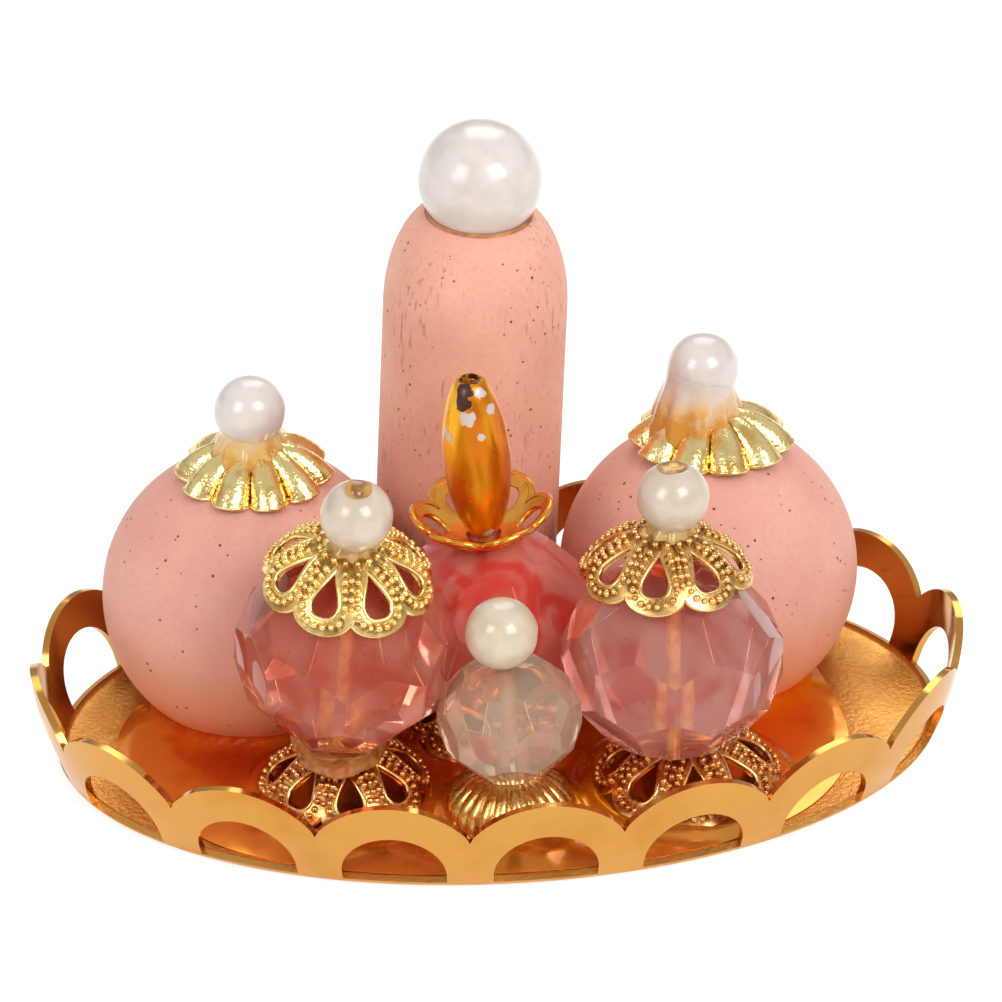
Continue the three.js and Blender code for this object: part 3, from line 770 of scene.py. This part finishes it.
BALL_BORE = 0.9
TALL = dict(radius=2.64, height=13.5, shoulder=10.6, rim=1.56, bore=0.8, dish=1.0)
PEARL_RADIUS, TALL_PEARL_RADIUS = 1.01, 1.75
PEARL_BORE, WIDE_PEARL_BORE = 0.27, 0.35
PIN_RADIUS = 0.2
PIN_IN_GLASS = PIN_RADIUS - 0.012


def ball_sizes(node):
    """A wooden ball's radius, its middle's height, and the radius of the flat it stands on."""
    low, high = span(node)
    radius = (high[0] - low[0]) / 2
    lift = high[2] - low[2] - sqrt(radius ** 2 - BALL_BORE ** 2)
    return radius, lift, sqrt(radius ** 2 - lift ** 2)


def make_ball(node):
    """A wooden ball, sanded flat where it stands, with the edge of the flat and of its bore
    worn round."""
    radius, lift, foot = ball_sizes(node)
    height = lift + sqrt(radius ** 2 - BALL_BORE ** 2)
    base, top = degrees(asin(lift / radius)), degrees(acos(BALL_BORE / radius))
    profile = [
        (BALL_BORE, 0.05), (BALL_BORE + 0.05, 0), (foot - 0.1, 0), (foot - 0.02, 0.015),
        *arc((0, lift), radius, -base + 1.5, top - 1.5, 60),
        (BALL_BORE + 0.04, height + 0.005), (BALL_BORE, height - 0.06),
    ]
    return turned(profile, 128, Seat(node, UPRIGHT))


def make_tall_body(seat):
    """The tall bottle: its shoulder runs in to a sharp rim, with a dish inside it."""
    rim, height, bore, radius = TALL["rim"], TALL["height"], TALL["bore"], TALL["radius"]
    run_in, rise = radius - rim - 0.03, height - TALL["shoulder"] - 0.015
    end = radians(70)
    shoulder = []
    for angle in np.linspace(0, end, 26):
        shoulder.append((
            radius - run_in * (1 - cos(angle)) / (1 - cos(end)),
            TALL["shoulder"] + rise * sin(angle) / sin(end),
        ))
    side = [(radius, level) for level in np.linspace(0.25, TALL["shoulder"], 12)[:-1]]
    profile = [
        (bore, 0.05), (bore + 0.05, 0), (radius - 0.2, 0), (radius - 0.06, 0.06),
        *side, *shoulder, (rim, height), (rim - 0.03, height - 0.01), (rim - 0.2, height - 0.2),
        (bore + 0.06, height - TALL["dish"] + 0.08), (bore, height - TALL["dish"] - 0.05),
    ]
    return turned(profile, 112, seat)


def make_pearl(node, cap_node, radius, bore, hole_top=None, steps=44, around=72):
    """A pearl that leans as the piece under it does. It is drilled right through, or up to
    a height above its middle."""
    seat = Seat(node, Seat(cap_node).turn[2])
    lift = sqrt(radius ** 2 - bore ** 2)
    base = degrees(acos(bore / radius))
    edge = 3.0  # degrees of the edge of a hole that are worn round
    foot = [(bore - 0.03, 0.1), (bore, 0.03)]
    if hole_top is None:
        outside = arc((0, lift), radius, -base + edge, base - edge, steps)
        profile = [*foot, *outside, (bore, 2 * lift - 0.03), (bore - 0.03, 2 * lift - 0.1)]
    else:
        outside = arc((0, lift), radius, -base + edge, 89.0, steps)
        hole = lift + hole_top
        profile = [(0, hole), (bore - 0.06, hole), (bore - 0.03, hole - 0.04), *foot, *outside]
        profile.append((0, lift + radius))

    def out_of_round(turn, height):
        level = (height - lift) / radius
        return 0.008 * np.sin(2 * turn + radius) + 0.005 * np.sin(3 * turn + 9 * level)

    def hand_made(points):
        """Makes the pearl slightly out of round and flattens its top a little."""
        top = np.clip(((points[:, 2] - lift) / radius - 0.8) / 0.2, 0, 1)
        moved = uneven(out_of_round, bore + 0.05)(points)
        moved[:, 2] -= 0.03 * radius * top ** 2
        return moved

    return turned(profile, around, seat, hand_made)


def make_glass(node, pin):
    """The faceted bead as the CAD has it, with the edges of its facets ground a little. The
    glue in its bore can't be told from the glass, so the bore is drawn in to the pin."""
    bore_reach, ground, least_bend = 0.6, 0.035, radians(12)
    seat = Seat(pin)
    axis = seat.turn[2]
    cut = bmesh.new()
    cut.from_mesh(frame["nodes"][node].data)
    bmesh.ops.remove_doubles(cut, verts=cut.verts, dist=0.002 * MM)
    bmesh.ops.dissolve_limit(cut, angle_limit=radians(1), verts=cut.verts, edges=cut.edges)
    bore = []
    for corner in cut.verts:
        from_pin = np.array(corner.co) / MM - seat.origin
        outward = from_pin - (from_pin @ axis) * axis
        reach = np.linalg.norm(outward)
        if reach < bore_reach:
            bore.append(corner)
            corner.co -= Vector(outward * (1 - PIN_IN_GLASS / reach)) * MM
    sharp = [
        edge for edge in cut.edges
        if edge.is_manifold and edge.calc_face_angle(0) > least_bend
        and not any(corner in bore for corner in edge.verts)
    ]
    bmesh.ops.bevel(
        cut, geom=sharp, offset=ground * MM, offset_type="OFFSET", segments=2, profile=0.6,
        affect="EDGES", clamp_overlap=True,
    )
    bmesh.ops.recalc_face_normals(cut, faces=cut.faces)
    cut.verts.index_update()
    points = [tuple(part / MM for part in corner.co) for corner in cut.verts]
    faces = [tuple(corner.index for corner in face.verts) for face in cut.faces]
    cut.free()
    return Shape(points, faces)


def make_pin(node):
    """Gilt wire with its ends filed round."""
    seat = Seat(node)
    worn, height = 0.08, seat.height
    profile = [
        (0, 0), *arc((PIN_RADIUS - worn, worn), worn, -90, 0, 4),
        *((PIN_RADIUS, share * height) for share in np.linspace(0.1, 0.9, 9)),
        *arc((PIN_RADIUS - worn, height - worn), worn, 0, 90, 4), (0, height),
    ]
    return turned(profile, 20, seat)


def make_stopper(node):
    """A long pearl bead like a grain of rice, drilled from end to end."""
    seat = Seat(node)
    half, radius, end = seat.height / 2, seat.radius, 0.32
    outside = []
    for step in range(61):
        height = -1 + 2 * step / 60
        swell = max(0.0, cos(height * pi / 2)) ** 0.6
        outside.append((end + (radius - end) * swell, half + height * half * 0.995))
    bore = end - 0.08
    foot = [(bore, 0.06), (bore + 0.02, 0.0)]
    profile = [*foot, *outside, (bore + 0.02, 2 * half), (bore, 2 * half - 0.06)]

    def worn(turn, height):
        return 0.012 * np.sin(5 * turn + 2 * height) * np.sin(2.3 * height)

    return turned(profile, 64, seat, uneven(worn, end))


# ---- caps ----

# Caps are measured from the plane of their rim, with their axis upwards. A fluted cap's first
# groove is at SHELL_TURN.
SHELL_TURN = radians(9.4)
FILIGREE = dict(petals=8, radius=2.45, height=1.5, hole=0.55, sheet=0.2)
WIDE_FILIGREE = dict(FILIGREE, radius=2.7)
LOW_FILIGREE = dict(FILIGREE, height=0.75)
FLOWER = dict(petals=6, radius=2.02, height=0.95, hole=0.5, sheet=0.14, shoulder=0.68)
SHELL = dict(flutes=10, radius=2.04, height=1.15, hole=0.5, sheet=0.1, flute=0.25, edge=0.06)
WIDE_SHELL = dict(SHELL, radius=2.16)
BUTTON = dict(flutes=26, radius=1.8, height=1.3, hole=0.42, sheet=0.12, flute=0.05, edge=0.05)


def dome_bend(cap):
    """The radius of the ball that a dome is the top of."""
    return (cap["radius"] ** 2 + cap["height"] ** 2) / (2 * cap["height"])


def dome_section(cap):
    """A round dome's section, from the edge of its hole (0) to its rim (1), as the radius
    and height of its outside and the direction that it faces."""
    bend = dome_bend(cap)
    at_rim = asin(cap["radius"] / bend)
    at_hole = asin(cap["hole"] / bend)
    lift = cap["sheet"] * cos(at_rim)

    def section(share):
        angle = at_hole + (at_rim - at_hole) * share
        height = bend * (np.cos(angle) - cos(at_rim)) + lift
        return bend * np.sin(angle), height, np.sin(angle), np.cos(angle)

    return section


def bowl_section(cap):
    """A bowl's section, upside down: it is flatter in the middle and steeper at its rim."""
    run, curve = cap["radius"] - cap["hole"], 1.6

    def section(share):
        slope = cap["height"] * curve * share ** (curve - 1)
        length = np.hypot(slope, run)
        height = cap["height"] * (1 - share ** curve)
        return cap["hole"] + run * share, height, slope / length, run / length

    return section


def button_section(cap):
    """A quarter round's section: flat at its hole and upright at its rim."""
    def section(share):
        angle = (1 - share) * pi / 2
        radius = cap["hole"] + (cap["radius"] - cap["hole"]) * np.cos(angle)
        return radius, cap["height"] * np.sin(angle), np.cos(angle), np.sin(angle)

    return section


def on_section(section, turn, share, lift=0.0):
    """Points on a cap, lifted off it by this much, from their turns and shares of section."""
    radius, height, out, up = section(np.asarray(share, float))
    reach = radius + lift * out
    return np.stack([reach * np.cos(turn), reach * np.sin(turn), height + lift * up], axis=-1)


def facing(section, turn, share):
    """The directions that a cap faces, as on_section has its points."""
    out, up = section(np.asarray(share, float))[2:]
    return np.stack([out * np.cos(turn), out * np.sin(turn), up + 0 * turn], axis=-1)


PETAL_SHOULDER = 0.78


def petal_outline(steps, shoulder):
    """Half a petal's free edge and its side, as [share of the half petal, share of section]
    from its tip to the cap's hole."""
    tip = [
        (sin(angle), shoulder + (1 - shoulder) * cos(angle))
        for angle in np.linspace(0, pi / 2, steps)
    ]
    side = [(1, share) for share in np.linspace(shoulder, 0, steps)[1:]]
    foot = [(across, 0) for across in np.linspace(1, 0, 4)[1:]]
    return np.array(tip + side + foot)


def drop_outline(opening, steps):
    """Half of a petal's opening, from its wide end to its point."""
    line = smooth_line(opening["shape"], 8)
    picked = line[np.linspace(0, len(line) - 1, steps).round().astype(int)]
    share = opening["start"] + (opening["end"] - opening["start"]) * picked[:, 1]
    return np.stack([opening["half_width"] * picked[:, 0], share], axis=1)


DROP = dict(
    start=0.2, end=0.82, half_width=0.56,
    shape=[(0, 1), (0.42, 0.985), (0.8, 0.9), (1, 0.72), (0.82, 0.48), (0.42, 0.22), (0, 0)],
)
ROUND = dict(
    start=0.3, end=0.86, half_width=0.6,
    shape=[(0, 1), (0.5, 0.93), (0.87, 0.75), (1, 0.5), (0.87, 0.25), (0.5, 0.07), (0, 0)],
)


def mirrored(half):
    """A whole outline from its one half."""
    other = half[::-1][1:-1] * np.array([-1, 1])
    return np.vstack([half, other])


def petal_cap(cap, section, opening, outline_wire, opening_wire, grains=None):
    """A cap of pierced petals. Round wires edge the petals and their openings, and rows of
    grains stand on the sheet between the wires."""
    half = pi / cap["petals"]
    bands, edge_steps = 5, 12
    half_outline = petal_outline(edge_steps, cap.get("shoulder", PETAL_SHOULDER))
    outer = mirrored(half_outline)
    inner = mirrored(drop_outline(opening, len(half_outline)))
    mix = np.linspace(0, 1, bands)[:, None, None]
    grid = outer[None] * (1 - mix) + inner[None] * mix
    around = len(outer)
    fronts, backs, faces = [], [], []
    for petal in range(cap["petals"]):
        turn = 2 * half * petal + half * grid[..., 0]
        fronts.append(on_section(section, turn, grid[..., 1]).reshape(-1, 3))
        backs.append(on_section(section, turn, grid[..., 1], -cap["sheet"]).reshape(-1, 3))
        start = petal * bands * around
        for face in ring_faces(bands, around, closed=False):
            faces.append(tuple(start + corner for corner in face))
    shape = Shape(*closed_sheet(np.vstack(fronts), np.vstack(backs), faces))

    edge = half_outline[:edge_steps]
    edge = np.vstack([(edge * (-1, 1))[::-1][:-1], edge])
    petals = range(cap["petals"])
    rim = np.concatenate([2 * half * petal + half * edge[:-1, 0] for petal in petals])
    rim_share = np.tile(edge[:-1, 1], cap["petals"])
    shape.add(*wire(
        on_section(section, rim, rim_share - 0.012, -cap["sheet"] / 2),
        facing(section, rim, rim_share), outline_wire, 10,
    ))
    for petal in petals:
        turn = 2 * half * petal + half * inner[:, 0]
        shape.add(*wire(
            on_section(section, turn, inner[:, 1], -opening_wire * 0.6),
            facing(section, turn, inner[:, 1]), opening_wire,
        ))
    if grains is not None:
        add_grains(shape, cap, section, outer, inner, **grains)
    return shape


def spread_evenly(line, path, spacing):
    """The places along a line that are this far apart on its path."""
    length = np.concatenate([[0], np.cumsum(np.linalg.norm(np.diff(path, axis=0), axis=1))])
    count = int(length[-1] / spacing)
    at = (np.arange(count) + 0.5) * length[-1] / count
    return np.interp(at, length, line[:, 0]), np.interp(at, length, line[:, 1])


def add_grains(shape, cap, section, outer, inner, size, spacing):
    """Grains stand all round each petal's opening, in a row down each seam between petals,
    and round the cap's hole."""
    half = pi / cap["petals"]
    unit_points, unit_faces = GRAIN
    round_opening = outer * 0.46 + inner * 0.54
    round_opening = np.vstack([round_opening, round_opening[:1]])
    seam = np.stack([np.ones(20), np.linspace(0.28, PETAL_SHOULDER - 0.06, 20)], axis=1)
    round_hole = np.stack([np.linspace(-1, 1, 20), np.full(20, 0.13)], axis=1)
    for row, line in enumerate((round_opening, seam, round_hole)):
        path = on_section(section, half * line[:, 0], line[:, 1])
        across, along = spread_evenly(line, path, spacing)
        if row == 0:
            across, along = across[along > 0.2], along[along > 0.2]
        for petal in range(cap["petals"]):
            turn = 2 * half * petal + half * across
            for index, centre in enumerate(on_section(section, turn, along, size * 0.25)):
                radius = size * (0.92 + 0.14 * sin(3.7 * index + 2.1 * petal + row))
                shape.add(unit_points * radius + centre, unit_faces)


def flute_rise(cap, turn, share):
    """How far flutes stand off the cap's plain section, and their own shape, which goes from
    0 in a groove to 1. The grooves deepen towards the rim. The turn is counted in flutes."""
    lobe = np.abs(np.sin(pi * turn)) ** 0.7
    return cap["flute"] * (2.0 * share ** 0.9 * lobe - 0.95 * share), lobe


def fluted_cap(cap, section, steps_per_flute=14):
    """A cap pressed into round flutes, whose grooves end a little short of its rolled rim."""
    step = np.arange(cap["flutes"] * steps_per_flute + 1) / steps_per_flute
    angle = SHELL_TURN + FULL_TURN * step / cap["flutes"]
    steps_down = 26
    share = np.linspace(0, 1, steps_down + 1)[:, None]
    rise, lobe = flute_rise(cap, step, share)
    short = cap["flute"] * 0.3 * (1 - lobe) ** 1.5
    angle, share = np.broadcast_arrays(angle[None, :], share * (1 - short * share ** 3))
    front = on_section(section, angle, share, rise)
    back = on_section(section, angle, share, rise - cap["sheet"])
    faces = [face[::-1] for face in grid_faces(steps_down + 1, len(step))]
    shape = Shape(*closed_sheet(front.reshape(-1, 3), back.reshape(-1, 3), faces))
    angle, share = angle[-1, :-1], share[-1, :-1]
    rim = on_section(section, angle, share, rise[-1, :-1] - cap["sheet"] / 2)
    return shape.add(*wire(rim, facing(section, angle, share), cap["edge"]))


def placed(shape, seat):
    shape.points = [tuple(point) for point in seat.place(shape.points)]
    return shape


# ---- glue ----


def make_pearl_glue(cap, cap_node, pearl_node, spread, film, climb):
    """The glue under a pearl. It covers the cap out to its spread, and runs up the pearl as
    a film, to an angle from the pearl's lowest point that climb gives for each direction. It
    is wetted on to the pearl, with no gap."""
    seat = Seat(cap_node)
    pearl = (middle(pearl_node) - seat.origin) @ seat.turn.T
    inside, hole = PEARL_RADIUS - 0.02, 0.5
    sunk, edge = 0.05, 0.07  # how deep its foot goes into the cap, and the edge's thickness
    bend = dome_bend(cap)
    under = sqrt(bend ** 2 - cap["radius"] ** 2) - cap["sheet"] / 2
    around, rings = 72, []
    for turn in np.arange(around) * FULL_TURN / around:
        ahead = np.array((cos(turn), sin(turn)))
        top_angle = radians(climb(turn))
        wavy = 1 + 0.05 * sin(3 * turn + 1) + 0.1 * cos(10 * (turn - SHELL_TURN))
        to_left = 0.1 * cos(turn - pi)
        foot_reach = spread * (0.7 + top_angle * 0.28) * (wavy + to_left)
        profile = []
        for reach in (hole, 0.8, 1.05, foot_reach):
            x, y = pearl[:2] + reach * ahead
            from_axis = hypot(x, y)
            height = sqrt(bend ** 2 - from_axis ** 2) - under
            if "flute" in cap:
                flute = (atan2(y, x) - SHELL_TURN) / FULL_TURN * cap["flutes"]
                height += flute_rise(cap, flute, from_axis / cap["radius"])[0]
            profile.append((reach, height - sunk))
        reach, height = profile[-1]
        profile.append((reach - 0.01, height + edge))
        below = pearl[2] - height - edge
        start = atan2(reach, below)
        skirt = max(0.05, hypot(reach, below) - PEARL_RADIUS - film)
        for share in np.linspace(0, 1, 12)[1:]:
            angle = start + (top_angle - start) * share
            out = PEARL_RADIUS - 0.01 + film * (1 - share ** 2) + skirt * (1 - share) ** 4
            profile.append((out * sin(angle), pearl[2] - out * cos(angle)))
        for angle in np.linspace(top_angle - 0.02, asin(hole / inside), 9):
            profile.append((inside * sin(angle), pearl[2] - inside * cos(angle)))
        rings.append([(*(pearl[:2] + out * ahead), height) for out, height in profile])
    faces = ring_faces(around, len(rings[0]), closed=True)
    return Shape(seat.place(np.array(rings).reshape(-1, 3)), faces)


def make_tall_glue(seat, rise):
    """The thin ring of glue between the tall bottle's dish and its pearl."""
    clear = TALL_PEARL_RADIUS + 0.02
    height = TALL["height"]
    low, high = height - 0.24, height + 0.1

    def at_pearl(level):
        return sqrt(clear ** 2 - (rise - level) ** 2)

    outside = smooth_line([
        (TALL["rim"] - 0.3, low), (TALL["rim"] - 0.06, height - 0.05),
        (TALL["rim"] - 0.08, height), (at_pearl(high) + 0.01, high),
    ], 4)
    inside = [(at_pearl(level), level) for level in np.linspace(high, low, 6)]
    return turned([*outside, *inside], 72, seat)


def make_plug(seat, stands_up, drawn_out):
    """A blob of glue that fills the top of a pearl's hole and runs over its edge. It is
    drawn out to one side by a share of its width."""
    top, inside = seat.height, WIDE_PEARL_BORE - 0.01
    profile = [
        (0, top - 0.34), (0.28, top - 0.32), (inside, top - 0.22), (inside, top - 0.02),
        (inside + 0.05, top - 0.01), (inside + 0.02, top + 0.02 + 0.3 * stands_up),
        (0.24, top + 0.02 + 0.8 * stands_up), (0.1, top + 0.03 + stands_up),
        (0, top + 0.03 + stands_up),
    ]

    def pulled(points):
        """Moves the part above the hole sideways and bends it down over the pearl."""
        above = np.clip((points[:, 2] - top + 0.015) / 0.01, 0, 1)
        turn = np.arctan2(points[:, 1], points[:, 0])
        moved = points.copy()
        moved[:, :2] *= (1 + above * 0.1 * np.sin(3 * turn + 1))[:, None]
        moved[:, 0] *= 1 + above * drawn_out
        moved[:, 0] -= above * 0.05
        out = np.linalg.norm(moved[:, :2], axis=1)
        moved[:, 2] -= above * np.clip(out ** 2 - inside ** 2, 0, None) / (2 * PEARL_RADIUS)
        return moved

    return turned(profile, 40, seat, pulled)


def make_collar(seat):
    """The lump of glue that holds a bead to its foot."""
    height = seat.height

    def lumpy(turn, height):
        return 0.05 * np.sin(3 * turn + 1) + 0.03 * np.sin(7 * turn + 4 * height)

    outside = smooth_line([
        (0.55, 0.01), (1.2, 0.02), (1.34, 0.14), (1.26, 0.45 * height), (1.36, 0.8 * height),
        (1.44, height - 0.03), (1.3, height), (0.55, height - 0.01),
    ], 5)
    inside = [(0.5, height - 0.06), (0.5, 0.06)]
    return turned([*outside, *inside], 56, seat, uneven(lumpy, 0.6))


# ---- assembly ----

SLOTS = {part["node"]: part["material_slot"] for part in frame["record"]["subparts"]}


def stopper_marks():
    """The chips in the stopper's lacquer, as points and sizes, and the spots of painted shade at
    its hole and the pit by its top.
    """
    seat = Seat("middle_stopper")

    def spots(*marks):
        """Spots from the height, turn, reach and size of each. Reach is a share of radius."""
        found = []
        for height, turn, reach, size in marks:
            out, turn = seat.radius * reach, radians(turn)
            point = (out * cos(turn), out * sin(turn), seat.height / 2 + height)
            found.append((tuple(seat.place(point)), size))
        return found

    chips = spots(
        (1.66, -106, 0.8, 0.3), (1.75, -45, 0.7, 0.22), (1.0, -150, 0.9, 0.26),
        (1.08, -82, 0.9, 0.16), (-2.3, -75, 0.6, 0.22), (2.25, -62, 0.5, 0.22),
    )
    # The spots of painted shade: the hole at the top and the pit beside it.
    return chips, spots((2.6, 0, 0, 0.3), (2.35, -118, 0.45, 0.24), (2.05, -116, 0.6, 0.22))


tray_gold()
amber_glue()
painted_wood("painted_wood", (224, 166, 147), (217, 155, 138), grain=False)
painted_wood("painted_wood_grained", (230, 174, 150), (223, 162, 140), grain=True)
pearl_look("pearl", (214, 205, 198), (204, 193, 185))
pearl_look("bead_pearl", (204, 188, 168), (193, 175, 154))
pearl_look("cream_pearl", (206, 190, 168), (194, 175, 150))
# The low colour of each gold is painted shade in its hollows.
gold(
    "shell_gold", (250, 224, 156), (232, 184, 104), 0.13, pit=0.03,
    low=((158, 108, 42), 0.42, 0.48),
)
gold("button_gold", (236, 196, 116), (214, 160, 80), 0.22, pit=0.01, low=((150, 96, 34), 0.44, 0.5))
gold("pale_gold", (248, 216, 140), (226, 178, 96), 0.2, patch=0.9, low=((164, 118, 58), 0.5, 0.56))
gold("antique_gold", (234, 190, 122), (202, 150, 84), 0.22, low=((138, 90, 42), 0.5, 0.56))
gold(
    "dark_gold", (250, 206, 134), (206, 140, 80), 0.2, tarnish=0.45,
    low=((148, 88, 44), 0.5, 0.56),
)
gold("orange_gold", (242, 172, 74), (224, 140, 46), 0.16)
pin_look("pin_gold", (238, 196, 60), (206, 146, 28), 0.3)
pin_look("pale_pin", (255, 232, 204), (246, 210, 168), 0, 0.75)
glass("rose_glass", (249, 169, 144), (228, 100, 76), 0.78, 0.8)
glass("mauve_glass", (251, 194, 182), (232, 126, 112), 0.78, 0.8)
glass("clear_glass", (255, 235, 210), (255, 206, 170), 0.8, 0.6)
coral_glass()
stopper_look(*stopper_marks())
cloudy_glue("plug_glue", (196, 148, 78), (132, 86, 34), 0)
pearl_glue_look("left", (228, 214, 190), (230, 190, 116), (214, 160, 66))
pearl_glue_look("right", (226, 214, 202), (232, 194, 146), (222, 156, 66))
cloudy_glue("tall_glue", (206, 150, 104), (164, 102, 58), 0)
cloudy_glue("collar_glue", (206, 134, 74), (156, 86, 40), 0.1, lumps=0.14)
cloudy_glue("cap_glue", (226, 192, 124), (196, 150, 76), 0.3)


def add_node(node, shape, look, sharp=45.0):
    """Adds the detailed piece that stands for a CAD node."""
    add_piece(f"{node}_detail", shape, look, sharp, node)


def add_filigree(node, cap, look):
    shape = petal_cap(
        cap, dome_section(cap), DROP, outline_wire=0.085, opening_wire=0.07,
        grains=dict(size=0.108, spacing=0.236),
    )
    add_node(node, placed(shape, Seat(node, to_first_petal=True)), look, 50.0)


def steady(angle):
    return lambda turn: angle


def taller_on_left(turn):
    return 88 + 16 * cos(turn - radians(174))


add_node("tray", make_tray(), "tray_gold")
add_node("glue_pool", make_glue_pool(), "amber_glue")

for side in ("left", "right"):
    add_node(f"{side}_ball_body", make_ball(f"{side}_ball_body"), "painted_wood")
for side, cap in (("left", SHELL), ("right", WIDE_SHELL)):
    node = f"{side}_ball_cap"
    add_node(node, placed(fluted_cap(cap, dome_section(cap)), Seat(node)), "shell_gold", 60.0)
for side, cap, spread, film, climb in (
    ("left", SHELL, 1.02, 0.02, steady(64)), ("right", WIDE_SHELL, 1.14, 0.07, taller_on_left),
):
    cap_node, node = f"{side}_ball_cap", f"{side}_ball_pearl"
    add_node(node, make_pearl(node, cap_node, PEARL_RADIUS, PEARL_BORE, 0.0), "pearl")
    glue = make_pearl_glue(cap, cap_node, node, spread, film, climb)
    add_node(f"{node}_glue", glue, f"{side}_pearl_glue", 70.0)

tall_seat = Seat("tall_bottle_body")
tall_pearl = make_pearl(
    "tall_bottle_pearl", "tall_bottle_body", TALL_PEARL_RADIUS, PEARL_BORE, 0.0, 64, 96
)
tall_rise = (middle("tall_bottle_pearl") - tall_seat.origin) @ tall_seat.turn[2]
add_node("tall_bottle_body", make_tall_body(tall_seat), "painted_wood_grained", 40.0)
add_node("tall_bottle_pearl", tall_pearl, "pearl")
add_node("tall_bottle_pearl_glue", make_tall_glue(tall_seat, tall_rise), "tall_glue", 70.0)

# Each bead's look is named as its slot is.
for bottle in ("middle", "front_left", "front_right", "front_centre"):
    node = f"{bottle}_bead"
    add_node(node, make_glass(node, f"{bottle}_pin"), SLOTS[node], 20.0)

for bottle, cap, look in (
    ("middle_foot", LOW_FILIGREE, "dark_gold"), ("front_left_foot", FILIGREE, "dark_gold"),
    ("front_right_foot", WIDE_FILIGREE, "dark_gold"), ("front_left_top", FILIGREE, "pale_gold"),
    ("front_right_top", FILIGREE, "antique_gold"),
):
    add_filigree(f"{bottle}_cap", cap, look)

# The flower cup is a cap turned over.
cup = petal_cap(FLOWER, bowl_section(FLOWER), ROUND, outline_wire=0.1, opening_wire=0.09)
cup.points = [(x, -y, FLOWER["height"] - z) for x, y, z in cup.points]
cup = placed(cup, Seat("middle_flower_cup", to_first_petal=True))
add_node("middle_flower_cup", cup, "orange_gold", 50.0)
add_node("middle_stopper", make_stopper("middle_stopper"), "amber_lacquer")

for bottle, stands_up, drawn_out in (("front_left", 0.18, 0.05), ("front_right", 0.02, 0.2)):
    cap_node, node = f"{bottle}_top_cap", f"{bottle}_pearl"
    add_node(node, make_pearl(node, cap_node, PEARL_RADIUS, WIDE_PEARL_BORE), "bead_pearl")
    plug = make_plug(Seat(node, Seat(cap_node).turn[2]), stands_up, drawn_out)
    add_piece(f"{node}_plug", plug, "plug_glue", 60.0)
    glue = make_pearl_glue(FILIGREE, cap_node, node, 0.8, 0.02, steady(40))
    add_piece(f"{node}_glue", glue, "cap_glue", 70.0)
node = "front_centre_pearl"
pearl = make_pearl(node, "front_centre_pin", PEARL_RADIUS, PEARL_BORE, hole_top=0.63)
add_node(node, pearl, "cream_pearl")
for bottle in ("middle", "front_left", "front_right"):
    add_node(f"{bottle}_pin", make_pin(f"{bottle}_pin"), "pin_gold")
add_node("front_centre_pin", make_pin("front_centre_pin"), "pale_pin")

node = "front_centre_foot_cap"
button = fluted_cap(BUTTON, button_section(BUTTON), steps_per_flute=8)
add_node(node, placed(button, Seat(node)), "button_gold", 60.0)
node = "front_left_collar_glue"
add_node(node, make_collar(Seat(node)), "collar_glue", 70.0)

# ---- floor and light ----


def add_floor():
    half = 3.0
    mesh = bpy.data.meshes.new("floor")
    mesh.from_pydata(
        [(-half, -half, 0), (half, -half, 0), (half, half, 0), (-half, half, 0)], [],
        [(0, 1, 2, 3)],
    )
    floor = bpy.data.objects.new("floor", mesh)
    bpy.context.scene.collection.objects.link(floor)
    look = bpy.data.materials.new("white_table")
    look.use_nodes = True
    shader = look.node_tree.nodes["Principled BSDF"]
    shader.inputs["Base Color"].default_value = (0.4, 0.4, 0.4, 1)
    shader.inputs["Roughness"].default_value = 0.8
    shader.inputs["Emission Color"].default_value = (1, 1, 1, 1)
    shader.inputs["Emission Strength"].default_value = 0.72
    mesh.materials.append(look)


def add_sky():
    """Soft light from all round: bright overhead, darker towards the horizon."""
    world = bpy.data.worlds.new("studio")
    bpy.context.scene.world = world
    world.use_nodes = True
    nodes, links = world.node_tree.nodes, world.node_tree.links
    place = nodes.new("ShaderNodeTexCoord")
    part = nodes.new("ShaderNodeSeparateXYZ")
    links.new(place.outputs["Generated"], part.inputs[0])
    ramp = nodes.new("ShaderNodeValToRGB")
    links.new(part.outputs["Z"], ramp.inputs[0])
    stops = ((0.0, 0.8), (0.1, 0.5), (0.25, 0.5), (0.5, 0.8), (1.0, 0.72))
    for index, (where, level) in enumerate(stops):
        ready = ramp.color_ramp.elements
        stop = ready[index] if index < len(ready) else ready.new(where)
        stop.position = where
        stop.color = (level, level, level, 1)
    links.new(ramp.outputs[0], nodes["Background"].inputs[0])
    nodes["Background"].inputs[1].default_value = 0.85


def add_light(name, place, size, power):
    """A soft square light that faces the tray's middle. Place and size are in metres."""
    data = bpy.data.lights.new(name, "AREA")
    data.size = size
    data.energy = power
    light = bpy.data.objects.new(name, data)
    light.location = place
    towards_tray = Vector((0, 0, 0.006)) - light.location
    light.rotation_euler = towards_tray.to_track_quat("-Z", "Y").to_euler()
    bpy.context.scene.collection.objects.link(light)


add_floor()
add_sky()
add_light("key", (0.17, -0.26, 0.25), 0.2, 0.85)
add_light("fill", (-0.24, -0.2, 0.22), 0.16, 0.4)
add_light("back", (0.05, 0.26, 0.26), 0.2, 0.3)
bpy.context.scene.view_settings.view_transform = "Standard"
